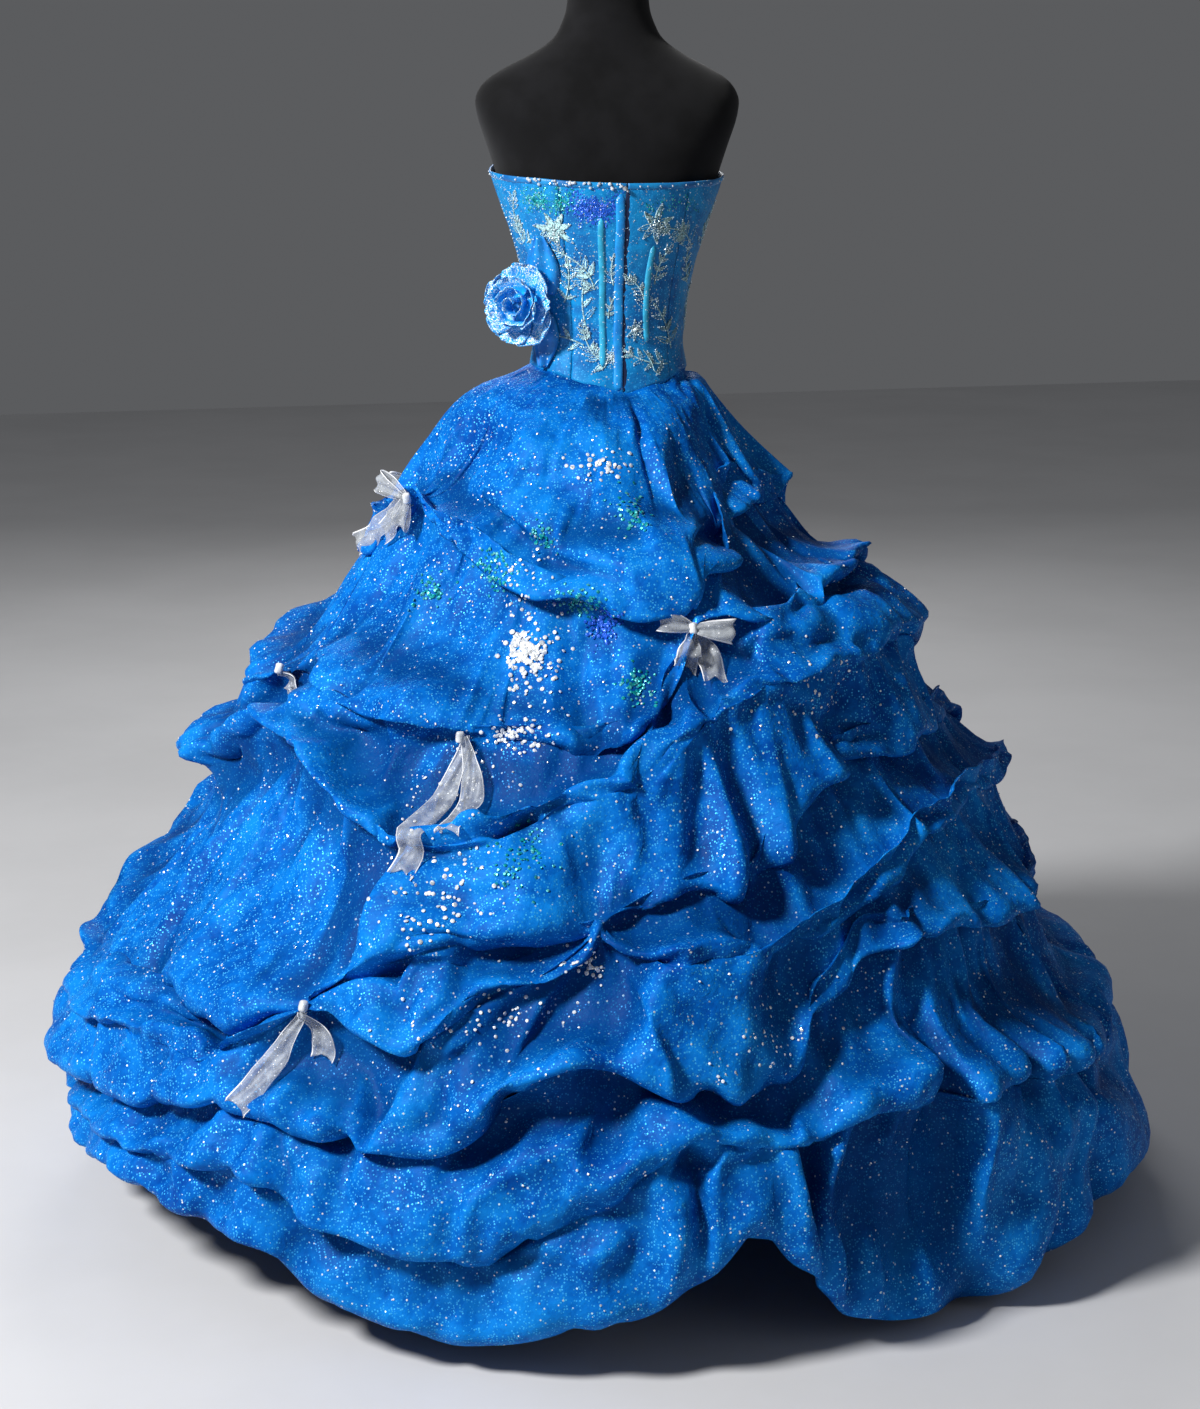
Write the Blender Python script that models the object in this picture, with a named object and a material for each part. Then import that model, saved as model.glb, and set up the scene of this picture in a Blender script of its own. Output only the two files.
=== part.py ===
"""Ball gown with a picked-up skirt, worn on a limbless dress form that stands on a round base.

Frame: metres, +Z up, the floor at z = 0 under the base, the front of the gown towards -Y,
the centre back at +Y and the wearer's left at +X.  Angles round the gown are in degrees from
the centre back, growing towards the wearer's left.
"""
import bmesh
import bpy
import math
import numpy as np
from mathutils import Vector
from mathutils.bvhtree import BVHTree

# ---------------------------------------------------------------- driving dimensions (metres)
WALL_BODICE = 0.0018
WALL_SKIRT = 0.0020
WALL_TRIM = 0.0012
FOLD_LIMIT = 1.9           # longest step through a wall at a fold, in walls
LEAST_HANG = 0.009         # even a gathered edge hangs this far below its tuck
SEAM_GAP = 0.0003
EASE = 0.0044              # bodice cloth stands this far off the form
LIE = 0.0011               # trims lie this far off the panel below
BASE_RADIUS = 0.190
BASE_HEIGHT = 0.018
POLE_RADIUS = 0.016
BOW_RIBBON = 0.034         # width of the bow ribbon
GORE_SEAMS = (0.0, 60.0, 120.0, 180.0, 240.0, 300.0)

# ---------------------------------------------------------------- dress form
# height, half width, depth to the back, depth to the front, squareness of the section
FORM = (
    (0.815, 0.090, 0.070, 0.070, 2.0),
    (0.825, 0.118, 0.090, 0.090, 2.0),
    (0.850, 0.140, 0.104, 0.104, 2.0),
    (0.920, 0.152, 0.112, 0.110, 2.1),
    (1.000, 0.140, 0.106, 0.104, 2.1),
    (1.060, 0.119, 0.094, 0.096, 2.1),
    (1.110, 0.101, 0.084, 0.090, 2.1),
    (1.155, 0.093, 0.080, 0.088, 2.1),
    (1.210, 0.098, 0.083, 0.095, 2.1),
    (1.260, 0.110, 0.090, 0.111, 2.1),
    (1.290, 0.119, 0.096, 0.126, 2.1),
    (1.320, 0.129, 0.100, 0.136, 2.1),
    (1.350, 0.140, 0.104, 0.136, 2.1),
    (1.380, 0.150, 0.106, 0.125, 2.1),
    (1.410, 0.160, 0.104, 0.110, 2.2),
    (1.445, 0.173, 0.096, 0.092, 2.3),
    (1.472, 0.178, 0.085, 0.080, 2.3),
    (1.494, 0.166, 0.074, 0.070, 2.2),
    (1.512, 0.136, 0.066, 0.062, 2.0),
    (1.528, 0.100, 0.060, 0.057, 2.0),
    (1.548, 0.070, 0.056, 0.054, 2.0),
    (1.580, 0.055, 0.053, 0.051, 2.0),
    (1.620, 0.051, 0.050, 0.048, 2.0),
    (1.644, 0.047, 0.046, 0.045, 2.0),
    (1.656, 0.034, 0.034, 0.034, 2.0),
)
FORM_STEPS = 36

# ---------------------------------------------------------------- bodice edges
# angle, height of the top edge, height of the bottom edge
BODICE_EDGE = (
    (0.0, 1.365, 1.092),
    (30.0, 1.367, 1.104),
    (60.0, 1.372, 1.119),
    (95.0, 1.378, 1.124),
    (130.0, 1.392, 1.106),
    (155.0, 1.398, 1.084),
    (180.0, 1.378, 1.066),
    (205.0, 1.398, 1.084),
    (230.0, 1.392, 1.106),
    (265.0, 1.376, 1.124),
    (300.0, 1.367, 1.119),
    (330.0, 1.365, 1.104),
)
# name, first angle, last angle, rows and columns of facets (the centre back seam is at angle 1)
BODICE_PANELS = (
    ("bodice_back_left", 1.0, 44.0, 7, 4),
    ("bodice_side_back_left", 44.0, 94.0, 7, 4),
    ("bodice_side_front_left", 94.0, 150.0, 9, 4),
    ("bodice_front_centre", 150.0, 210.0, 11, 4),
    ("bodice_side_front_right", 210.0, 266.0, 9, 4),
    ("bodice_side_back_right", 266.0, 317.0, 7, 4),
    ("bodice_back_right", 317.0, 361.0, 7, 4),
)

# ---------------------------------------------------------------- skirt envelope
# height, radius towards the wearer's left, back, right and front
SKIRT_SPREAD = (
    (1.130, 0.108, 0.098, 0.108, 0.104),
    (1.090, 0.178, 0.118, 0.140, 0.118),
    (1.050, 0.262, 0.190, 0.168, 0.180),
    (1.010, 0.315, 0.255, 0.235, 0.255),
    (0.970, 0.360, 0.315, 0.292, 0.315),
    (0.910, 0.385, 0.380, 0.335, 0.375),
    (0.850, 0.425, 0.425, 0.372, 0.425),
    (0.780, 0.470, 0.478, 0.430, 0.475),
    (0.700, 0.525, 0.535, 0.492, 0.530),
    (0.620, 0.570, 0.592, 0.562, 0.585),
    (0.540, 0.632, 0.645, 0.610, 0.640),
    (0.460, 0.712, 0.690, 0.645, 0.685),
    (0.380, 0.738, 0.718, 0.684, 0.712),
    (0.300, 0.748, 0.738, 0.712, 0.730),
    (0.220, 0.764, 0.748, 0.730, 0.745),
    (0.140, 0.748, 0.744, 0.740, 0.745),
    (0.060, 0.728, 0.722, 0.736, 0.728),
    (0.000, 0.700, 0.690, 0.715, 0.700),
)
# Each row of the skirt is the lowest line of one swag all round the gown.
# angle, height of the edge, how far it hangs below its tuck, depth of the tuck
SWAG_1 = (
    (-72, 0.968, 0.022, 0.050), (-54, 0.988, 0.028, 0.050), (-40, 0.990, 0.034, 0.055),
    (-23, 0.960, 0.034, 0.052), (-12, 0.900, 0.026, 0.046), (-2, 0.858, 0.004, 0.050),
    (8, 0.856, 0.020, 0.040), (28, 0.897, 0.022, 0.036), (50, 0.945, 0.018, 0.034),
    (73, 0.978, 0.003, 0.046), (92, 0.928, 0.030, 0.044), (112, 0.915, 0.034, 0.046),
    (134, 0.950, 0.003, 0.048), (158, 0.885, 0.032, 0.042), (188, 0.872, 0.030, 0.040),
    (212, 0.930, 0.003, 0.048), (240, 0.880, 0.034, 0.044), (262, 0.915, 0.028, 0.044),
    (276, 0.965, 0.004, 0.046),
)
SWAG_2 = (
    (-75, 0.850, 0.024, 0.044), (-58, 0.872, 0.026, 0.044), (-40, 0.866, 0.026, 0.042),
    (-20, 0.846, 0.018, 0.036), (-2, 0.842, 0.003, 0.050), (4, 0.780, 0.020, 0.050),
    (9, 0.730, 0.026, 0.052), (20, 0.721, 0.028, 0.050), (29, 0.722, 0.020, 0.046),
    (36, 0.725, 0.003, 0.054), (46, 0.722, 0.018, 0.040), (62, 0.736, 0.016, 0.038),
    (82, 0.742, 0.003, 0.050), (95, 0.688, 0.028, 0.046), (114, 0.700, 0.030, 0.046),
    (133, 0.745, 0.003, 0.050), (160, 0.690, 0.034, 0.050), (188, 0.735, 0.003, 0.050),
    (216, 0.690, 0.034, 0.050), (244, 0.738, 0.003, 0.050), (265, 0.800, 0.026, 0.044),
)
SWAG_3 = (
    (-74, 0.772, 0.018, 0.034), (-50, 0.785, 0.018, 0.034), (-28, 0.780, 0.014, 0.028),
    (-12, 0.775, 0.006, 0.014), (0, 0.740, 0.004, 0.010), (9, 0.675, 0.008, 0.018),
    (18, 0.652, 0.010, 0.024), (28, 0.610, 0.012, 0.028), (38, 0.598, 0.014, 0.030),
    (48, 0.618, 0.014, 0.030), (60, 0.665, 0.010, 0.034), (74, 0.690, 0.006, 0.034),
    (90, 0.585, 0.022, 0.040), (108, 0.575, 0.024, 0.042), (132, 0.600, 0.006, 0.030),
    (158, 0.580, 0.016, 0.034), (188, 0.610, 0.006, 0.030), (216, 0.580, 0.018, 0.034),
    (244, 0.620, 0.006, 0.030), (264, 0.690, 0.018, 0.034),
)
SWAG_4 = (
    (-72, 0.675, 0.028, 0.048), (-50, 0.692, 0.028, 0.048), (-28, 0.694, 0.028, 0.048),
    (-15, 0.672, 0.034, 0.060), (-9, 0.615, 0.034, 0.064), (-4, 0.570, 0.028, 0.056),
    (4, 0.568, 0.024, 0.046), (14, 0.536, 0.004, 0.060), (24, 0.524, 0.022, 0.044),
    (32, 0.500, 0.010, 0.030), (46, 0.428, 0.004, 0.048), (54, 0.372, 0.024, 0.050),
    (66, 0.384, 0.028, 0.050), (82, 0.360, 0.030, 0.048), (100, 0.318, 0.032, 0.048),
    (124, 0.400, 0.010, 0.046), (140, 0.470, 0.003, 0.050), (162, 0.400, 0.034, 0.050),
    (186, 0.480, 0.003, 0.054), (212, 0.410, 0.034, 0.050), (238, 0.500, 0.003, 0.050),
    (262, 0.570, 0.026, 0.048),
)
SWAG_5 = (
    (-74, 0.590, 0.020, 0.036), (-48, 0.612, 0.024, 0.040), (-32, 0.594, 0.026, 0.044),
    (-20, 0.545, 0.026, 0.050), (-11, 0.520, 0.020, 0.044), (0, 0.498, 0.006, 0.014),
    (8, 0.490, 0.006, 0.016), (15, 0.520, 0.004, 0.046), (24, 0.455, 0.012, 0.034),
    (34, 0.392, 0.018, 0.040), (46, 0.412, 0.003, 0.046), (58, 0.328, 0.020, 0.040),
    (76, 0.315, 0.020, 0.040), (96, 0.276, 0.024, 0.044), (126, 0.320, 0.010, 0.034),
    (158, 0.310, 0.018, 0.036), (188, 0.380, 0.006, 0.034), (214, 0.320, 0.018, 0.036),
    (240, 0.420, 0.006, 0.034), (264, 0.500, 0.018, 0.036),
)
SWAG_6 = (
    (-74, 0.468, 0.030, 0.052), (-50, 0.460, 0.030, 0.050), (-32, 0.480, 0.030, 0.050),
    (-17, 0.500, 0.030, 0.060), (-10, 0.440, 0.030, 0.060), (-5, 0.358, 0.030, 0.060),
    (4, 0.334, 0.034, 0.056), (14, 0.372, 0.030, 0.050), (22, 0.346, 0.024, 0.046),
    (30, 0.274, 0.024, 0.046), (42, 0.262, 0.020, 0.044), (54, 0.284, 0.024, 0.044),
    (70, 0.236, 0.028, 0.044), (92, 0.196, 0.030, 0.044), (116, 0.250, 0.014, 0.046),
    (134, 0.300, 0.004, 0.052), (160, 0.230, 0.034, 0.050), (186, 0.310, 0.004, 0.052),
    (212, 0.240, 0.034, 0.050), (238, 0.330, 0.006, 0.050), (262, 0.420, 0.028, 0.050),
)
SWAG_7 = (
    (-74, 0.250, 0.016, 0.030), (-48, 0.250, 0.010, 0.022), (-28, 0.290, 0.010, 0.026),
    (-12, 0.300, 0.014, 0.040), (-3, 0.280, 0.010, 0.034), (6, 0.300, 0.008, 0.026),
    (15, 0.215, 0.014, 0.032), (26, 0.135, 0.016, 0.034), (38, 0.158, 0.016, 0.034),
    (50, 0.215, 0.014, 0.034), (68, 0.180, 0.016, 0.030), (92, 0.130, 0.018, 0.034),
    (118, 0.160, 0.012, 0.026), (150, 0.150, 0.014, 0.028), (186, 0.190, 0.008, 0.024),
    (220, 0.150, 0.014, 0.028), (250, 0.220, 0.010, 0.024), (268, 0.240, 0.014, 0.028),
)
HEM = (
    (-74, 0.030, 0.030, 0.060), (-36, 0.024, 0.030, 0.060), (-22, 0.022, 0.030, 0.060),
    (-12, 0.046, 0.030, 0.060), (-6, 0.118, 0.030, 0.062), (1, 0.182, 0.030, 0.066),
    (7, 0.122, 0.030, 0.062), (15, 0.074, 0.030, 0.060), (28, 0.046, 0.030, 0.060),
    (40, 0.058, 0.030, 0.060), (47, 0.120, 0.030, 0.064), (58, 0.130, 0.030, 0.060),
    (70, 0.132, 0.030, 0.060), (88, 0.084, 0.030, 0.060), (110, 0.044, 0.030, 0.060),
    (140, 0.060, 0.030, 0.060), (165, 0.030, 0.030, 0.060), (186, 0.064, 0.030, 0.060),
    (212, 0.030, 0.030, 0.060), (238, 0.058, 0.030, 0.060), (262, 0.030, 0.030, 0.060),
)
SWAGS = (SWAG_1, SWAG_2, SWAG_3, SWAG_4, SWAG_5, SWAG_6, SWAG_7, HEM)

# Pleats that fan out below a gather:
# angle and height of the gather, angle and height of the middle of the foot, half spread in
# degrees at the foot, number of pleats, depth
PLEATS = (
    (-2.0, 0.845, -1.0, 0.580, 15.0, 4.0, 0.013),
    (15.0, 0.530, 8.0, 0.340, 16.0, 4.5, 0.012),
    (36.0, 0.720, 38.0, 0.560, 14.0, 3.0, 0.007),
    (-40.0, 0.500, -30.0, 0.040, 24.0, 5.0, 0.012),
    (45.0, 0.420, 50.0, 0.150, 18.0, 4.5, 0.011),
    (82.0, 0.740, 88.0, 0.400, 16.0, 4.0, 0.012),
    (134.0, 0.945, 136.0, 0.600, 18.0, 4.0, 0.010),
    (188.0, 0.735, 187.0, 0.450, 16.0, 4.0, 0.011),
    (212.0, 0.930, 214.0, 0.650, 16.0, 4.0, 0.010),
    (244.0, 0.735, 243.0, 0.400, 16.0, 4.0, 0.011),
)

# angles of the facet columns: closer where the back shows, and one on every seam
SKIRT_COLUMNS = (0, 5, 10, 15, 20, 26, 32, 37, 42, 48, 54, 60, 67, 74, 81, 88, 96, 104, 112, 120,
                 135, 150, 165, 180, 195, 210, 225, 240, 255, 270, 285, 300,
                 309, 318, 327, 335, 343, 350, 355, 360)


# ---------------------------------------------------------------- helpers
def paint(name, colour, roughness, metallic=0.0):
    mat = bpy.data.materials.new(name)
    mat.use_nodes = True
    shader = mat.node_tree.nodes["Principled BSDF"]
    shader.inputs["Base Color"].default_value = (*colour, 1.0)
    shader.inputs["Roughness"].default_value = roughness
    shader.inputs["Metallic"].default_value = metallic
    return mat


def add(name, verts, faces, mat, smooth=True):
    mesh = bpy.data.meshes.new(name)
    mesh.from_pydata([tuple(v) for v in verts], [], faces)
    body = bmesh.new()
    body.from_mesh(mesh)
    bmesh.ops.recalc_face_normals(body, faces=body.faces)
    body.to_mesh(mesh)
    body.free()
    mesh.update()
    ob = bpy.data.objects.new(name, mesh)
    bpy.context.scene.collection.objects.link(ob)
    mesh.materials.append(mat)
    if smooth:
        mesh.shade_smooth()
    return ob


def ring_value(rows, theta, column):
    """Value of one column of a round-the-gown table at an angle, eased between its rows."""
    angles = [row[0] % 360.0 for row in rows]
    order = sorted(range(len(rows)), key=lambda i: angles[i])
    t = theta % 360.0
    low, high = order[-1], order[0]
    for i in order:
        if angles[i] <= t:
            low = i
    for i in reversed(order):
        if angles[i] > t:
            high = i
    span = (angles[high] - angles[low]) % 360.0 or 360.0
    f = ((t - angles[low]) % 360.0) / span
    f = 0.5 * f + 0.5 * f * f * (3.0 - 2.0 * f)
    return rows[low][column] * (1.0 - f) + rows[high][column] * f


def table_value(rows, key, column):
    keys = [row[0] for row in rows]
    values = [row[column] for row in rows]
    if keys[0] > keys[-1]:
        keys.reverse()
        values.reverse()
    return float(np.interp(key, keys, values))


def around(theta, radius, z):
    a = math.radians(theta)
    return Vector((radius * math.sin(a), radius * math.cos(a), z))


def form_radius(theta, z):
    """Distance from the axis to the form's skin at an angle and height."""
    half = table_value(FORM, z, 1)
    depth = table_value(FORM, z, 2 if math.cos(math.radians(theta)) > 0.0 else 3)
    square = table_value(FORM, z, 4)
    s = abs(math.sin(math.radians(theta))) / half
    c = abs(math.cos(math.radians(theta))) / depth
    return (s ** square + c ** square) ** (-1.0 / square)


def sheet_wall(grid_out, grid_in):
    """Closed wall between two equal grids of points [row][column]."""
    rows = len(grid_out)
    cols = len(grid_out[0])
    verts = [p for row in grid_out for p in row] + [p for row in grid_in for p in row]
    n = rows * cols
    faces = []
    for i in range(rows - 1):
        for j in range(cols - 1):
            a = i * cols + j
            b = a + 1
            c = a + cols + 1
            d = a + cols
            # both skins split on the same diagonal, so the wall keeps its thickness where it twists
            faces.append((a, d, c))
            faces.append((a, c, b))
            faces.append((n + a, n + c, n + d))
            faces.append((n + a, n + b, n + c))
    for j in range(cols - 1):
        a = j
        faces.append((a, a + 1, n + a + 1, n + a))
        a = (rows - 1) * cols + j
        faces.append((a + 1, a, n + a, n + a + 1))
    for i in range(rows - 1):
        a = i * cols
        faces.append((a + cols, a, n + a, n + a + cols))
        a = i * cols + cols - 1
        faces.append((a, a + cols, n + a + cols, n + a))
    return verts, faces


def wall_steps(grid):
    """Outward step at each point of a grid that sets a second skin one unit behind every facet.

    The grid's rows run down and its columns run along +angle.  At a fold the step is longer than
    on the flat, up to a limit, so that the wall doesn't thin out at the crease.
    """
    g = np.array([[tuple(p) for p in row] for row in grid])
    a = g[:-1, :-1]
    b = g[:-1, 1:]
    c = g[1:, 1:]
    d = g[1:, :-1]
    first = np.cross(c - a, d - a)
    second = np.cross(b - a, c - a)
    rows, cols = g.shape[:2]
    push = np.zeros((rows, cols, 3, 3))
    pull = np.zeros((rows, cols, 3))
    count = np.zeros((rows, cols, 1))
    for normals, corners in ((first, ((0, 0), (1, 1), (1, 0))), (second, ((0, 0), (0, 1), (1, 1)))):
        unit = normals / np.maximum(np.linalg.norm(normals, axis=2, keepdims=True), 1e-12)
        for i, j in corners:
            spot = (slice(i, i + rows - 1), slice(j, j + cols - 1))
            push[spot] += unit[..., :, None] * unit[..., None, :]
            pull[spot] += unit
            count[spot] += 1.0
    ease = 0.06
    step = np.linalg.solve(push + ease * count[..., None] * np.eye(3), pull[..., None])[..., 0]
    step *= 1.0 + ease
    size = np.linalg.norm(step, axis=2, keepdims=True)
    return g, step * np.minimum(1.0, FOLD_LIMIT / np.maximum(size, 1e-9))


# ---------------------------------------------------------------- dress form and stand
def build_form(cloth_black, metal):
    verts = []
    for z, *_ in FORM:
        for j in range(FORM_STEPS):
            theta = 360.0 * j / FORM_STEPS
            verts.append(around(theta, form_radius(theta, z), z))
    rows = len(FORM)
    faces = []
    for i in range(rows - 1):
        for j in range(FORM_STEPS):
            k = (j + 1) % FORM_STEPS
            faces.append((i * FORM_STEPS + j, (i + 1) * FORM_STEPS + j,
                          (i + 1) * FORM_STEPS + k, i * FORM_STEPS + k))
    faces.append(tuple(range(FORM_STEPS)))
    top = [(rows - 1) * FORM_STEPS + j for j in range(FORM_STEPS)]
    faces.append(tuple(reversed(top)))
    add("form_torso", verts, faces, cloth_black)
    turned("stand_pole", ((POLE_RADIUS, BASE_HEIGHT + SEAM_GAP), (POLE_RADIUS, FORM[0][0] - SEAM_GAP)),
           20, metal)
    turned("stand_base", ((BASE_RADIUS, 0.0), (BASE_RADIUS, BASE_HEIGHT - 0.005),
                          (BASE_RADIUS - 0.006, BASE_HEIGHT)), 40, metal)


def turned(name, outline, steps, mat):
    """Solid of revolution from a short (radius, height) outline, bottom to top."""
    verts = [around(360.0 * j / steps, r, z) for r, z in outline for j in range(steps)]
    faces = []
    for i in range(len(outline) - 1):
        for j in range(steps):
            k = (j + 1) % steps
            faces.append((i * steps + j, (i + 1) * steps + j, (i + 1) * steps + k, i * steps + k))
    faces.append(tuple(range(steps)))
    faces.append(tuple((len(outline) - 1) * steps + j for j in reversed(range(steps))))
    return add(name, verts, faces, mat)


# ---------------------------------------------------------------- bodice
def bodice_point(theta, v, lift):
    """v runs 0 at the top edge to 1 at the bottom edge."""
    top = ring_value(BODICE_EDGE, theta, 1)
    low = ring_value(BODICE_EDGE, theta, 2)
    z = top + (low - top) * v
    return around(theta, form_radius(theta, z) + EASE + lift, z)


def build_bodice(satin):
    tris = []
    for name, first, last, rows, cols in BODICE_PANELS:
        trim = math.degrees(SEAM_GAP * 0.5 / 0.11)
        a0 = first + trim
        a1 = last - trim
        angles = [a0 + (a1 - a0) * j / cols for j in range(cols + 1)]
        outer = [[bodice_point(t, i / rows, WALL_BODICE) for t in angles] for i in range(rows + 1)]
        inner = [[bodice_point(t, i / rows, 0.0) for t in angles] for i in range(rows + 1)]
        verts, faces = sheet_wall(outer, inner)
        add(name, verts, faces, satin)
        tris.append((outer, rows, cols))
    return tris


def tree_of(grids):
    verts = []
    faces = []
    for grid, rows, cols in grids:
        base = len(verts)
        verts += [tuple(p) for row in grid for p in row]
        for i in range(rows):
            for j in range(cols):
                a = base + i * (cols + 1) + j
                faces.append((a, a + cols + 1, a + cols + 2))
                faces.append((a, a + cols + 2, a + 1))
    return BVHTree.FromPolygons(verts, faces)


def surface_at(tree, theta, z, lift):
    """Outermost point of a surface at an angle and height, moved out by lift."""
    start = around(theta, 1.6, z)
    away = around(theta, 1.0, 0.0)
    hit = tree.ray_cast(start, -away, 1.58)
    if hit[0] is None:
        near = tree.find_nearest(around(theta, 0.5, z))
        return near[0] + away * lift
    return hit[0] + away * lift


def patch(name, tree, centre, outline, mat, lift=LIE, thick=WALL_TRIM):
    """Flat piece laid on a surface: outline is (along, up) offsets round the centre."""
    theta0, z0 = centre
    radius = Vector(surface_at(tree, theta0, z0, 0.0)[:2]).length
    n = len(outline)
    rings = []
    for share in (0.45, 1.0):
        rings += [(theta0 + math.degrees(u * share / radius), z0 + w * share) for u, w in outline]
    spots = [(theta0, z0)] + rings
    outer = [surface_at(tree, t, z, lift + thick) for t, z in spots]
    inner = [surface_at(tree, t, z, lift) for t, z in spots]
    faces = []
    m = len(spots)
    for j in range(n):
        k = (j + 1) % n
        faces.append((0, 1 + j, 1 + k))
        faces.append((m, m + 1 + k, m + 1 + j))
        faces.append((1 + j, 1 + n + j, 1 + n + k, 1 + k))
        faces.append((m + 1 + j, m + 1 + k, m + 1 + n + k, m + 1 + n + j))
        faces.append((1 + n + j, m + 1 + n + j, m + 1 + n + k, 1 + n + k))
    ob = add(name, outer + inner, faces, mat)
    return ob


def strip(name, tree, path, width, mat, lift=LIE, thick=WALL_TRIM):
    """Narrow band laid along a path of (angle, height) on a surface."""
    outer = []
    inner = []
    for i, (t, z) in enumerate(path):
        t0, z0 = path[max(i - 1, 0)]
        t1, z1 = path[min(i + 1, len(path) - 1)]
        r = Vector(surface_at(tree, t, z, 0.0)[:2]).length
        along = math.radians(t1 - t0) * r
        rise = z1 - z0
        size = math.hypot(along, rise) or 1.0
        side = (rise / size, -along / size)
        row_out = []
        row_in = []
        for s in (0.5, 0.0, -0.5):
            tt = t + math.degrees(side[0] * s * width / r)
            zz = z + side[1] * s * width
            row_out.append(surface_at(tree, tt, zz, lift + thick))
            row_in.append(surface_at(tree, tt, zz, lift))
        outer.append(row_out)
        inner.append(row_in)
    verts, faces = sheet_wall(outer, inner)
    return add(name, verts, faces, mat)


def spray_outline(size, lobes, depth, turn, squash=1.0, steps=14):
    """Leafy outline with rounded lobes, for a lace motif."""
    out = []
    for j in range(steps):
        a = 2.0 * math.pi * j / steps
        r = size * (1.0 - depth + depth * math.cos(lobes * a))
        u = r * math.cos(a) * squash
        w = r * math.sin(a)
        c = math.cos(math.radians(turn))
        s = math.sin(math.radians(turn))
        out.append((u * c - w * s, u * s + w * c))
    return out


# lace motifs on the bodice: name, angle, height, size, lobes, lobe depth, turn, squash
LACE = (
    ("lace_flower_back_left", 49.0, 1.306, 0.021, 5, 0.22, 10.0, 1.0),
    ("lace_leaf_back_left", 35.0, 1.262, 0.023, 4, 0.30, 35.0, 0.9),
    ("lace_sprig_back_left", 34.0, 1.198, 0.017, 3, 0.34, 80.0, 0.8),
    ("lace_corner_back_left", 50.0, 1.166, 0.015, 5, 0.24, 0.0, 1.0),
    ("lace_flower_back_right", 340.0, 1.312, 0.019, 6, 0.22, 0.0, 1.0),
    ("lace_spray_side_right", 320.0, 1.304, 0.018, 3, 0.34, 25.0, 1.1),
    ("lace_sprig_side_right", 321.0, 1.182, 0.018, 5, 0.28, 15.0, 0.9),
    ("lace_corner_back_right", 339.0, 1.134, 0.015, 5, 0.26, 0.0, 1.1),
)


def build_bodice_trims(panels, tree, satin, pale, lace, crystal):
    # the binding keeps to the columns of the panels below it
    edge_out = []
    edge_in = []
    for share in (0.04, 0.22):
        row_out = []
        row_in = []
        for outer, rows, cols in panels:
            for j in range(cols + 1):
                p = outer[0][j].lerp(outer[1][j], share)
                away = Vector((p.x, p.y, 0.0)).normalized()
                row_out.append(p + away * (LIE + WALL_TRIM))
                row_in.append(p + away * LIE)
        edge_out.append(row_out)
        edge_in.append(row_in)
    verts, faces = sheet_wall(edge_out, edge_in)
    add("bodice_top_binding", verts, faces, satin)
    # strips of the centre back, heights from the top down
    strip("back_placket", tree, [(5.2, 1.352 - 0.253 * i / 8) for i in range(9)], 0.0095, pale)
    strip("boning_channel_left", tree, [(18.6, 1.322 - 0.194 * i / 7) for i in range(8)], 0.0085, pale)
    path = [(339.5 + 2.2 * math.sin(math.pi * i / 6), 1.286 - 0.128 * i / 6) for i in range(7)]
    strip("boning_channel_right", tree, path, 0.0085, pale)
    for name, theta, z, size, lobes, depth, turn, squash in LACE:
        patch(name, tree, (theta, z), spray_outline(size, lobes, depth, turn, squash), lace)
    ball("back_hook_bead", surface_at(tree, 3.2, 1.3590, 0.0072), 0.0038, crystal)


def ball(name, centre, radius, mat, rings=4, steps=7):
    verts = [centre + Vector((0.0, 0.0, radius))]
    for i in range(1, rings):
        a = math.pi * i / rings
        for j in range(steps):
            b = 2.0 * math.pi * j / steps
            verts.append(centre + Vector((radius * math.sin(a) * math.cos(b),
                                          radius * math.sin(a) * math.sin(b), radius * math.cos(a))))
    verts.append(centre - Vector((0.0, 0.0, radius)))
    faces = []
    for j in range(steps):
        k = (j + 1) % steps
        faces.append((0, 1 + j, 1 + k))
        last = 1 + (rings - 2) * steps
        faces.append((last + j, len(verts) - 1, last + k))
        for i in range(rings - 2):
            a = 1 + i * steps
            faces.append((a + j, a + steps + j, a + steps + k, a + k))
    return add(name, verts, faces, mat)


# ---------------------------------------------------------------- skirt
def spread(theta, z):
    """Radius of the skirt's outer envelope."""
    left = table_value(SKIRT_SPREAD, z, 1)
    back = table_value(SKIRT_SPREAD, z, 2)
    right = table_value(SKIRT_SPREAD, z, 3)
    front = table_value(SKIRT_SPREAD, z, 4)
    s = math.sin(math.radians(theta))
    c = math.cos(math.radians(theta))
    side = left if s > 0.0 else right
    end = back if c > 0.0 else front
    return side * s * s + end * c * c


def pleat_depth(theta, z):
    """How far the fanned pleats push the cloth in or out at an angle and height."""
    total = 0.0
    for t0, z0, t1, z1, half, count, depth in PLEATS:
        along = (z0 - z) / (z0 - z1)
        if along <= 0.0 or along >= 1.25:
            continue
        middle = t0 + (t1 - t0) * along
        reach = 2.5 + half * along
        off = ((theta - middle + 180.0) % 360.0 - 180.0) / reach
        if abs(off) >= 1.0:
            continue
        fade = min(along * 4.0, 1.0) * min((1.25 - along) * 3.0, 1.0) * (1.0 - off * off)
        total += depth * fade * math.cos(math.pi * count * off)
    return total


def waist_point(theta):
    z = ring_value(BODICE_EDGE, theta, 2)
    return form_radius(theta, z) + EASE + WALL_BODICE, z - 0.0018


def swag_edge(theta, k):
    edge, hang, depth = (ring_value(SWAGS[k], theta, c) for c in (1, 2, 3))
    return edge, max(hang, LEAST_HANG), depth


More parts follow.
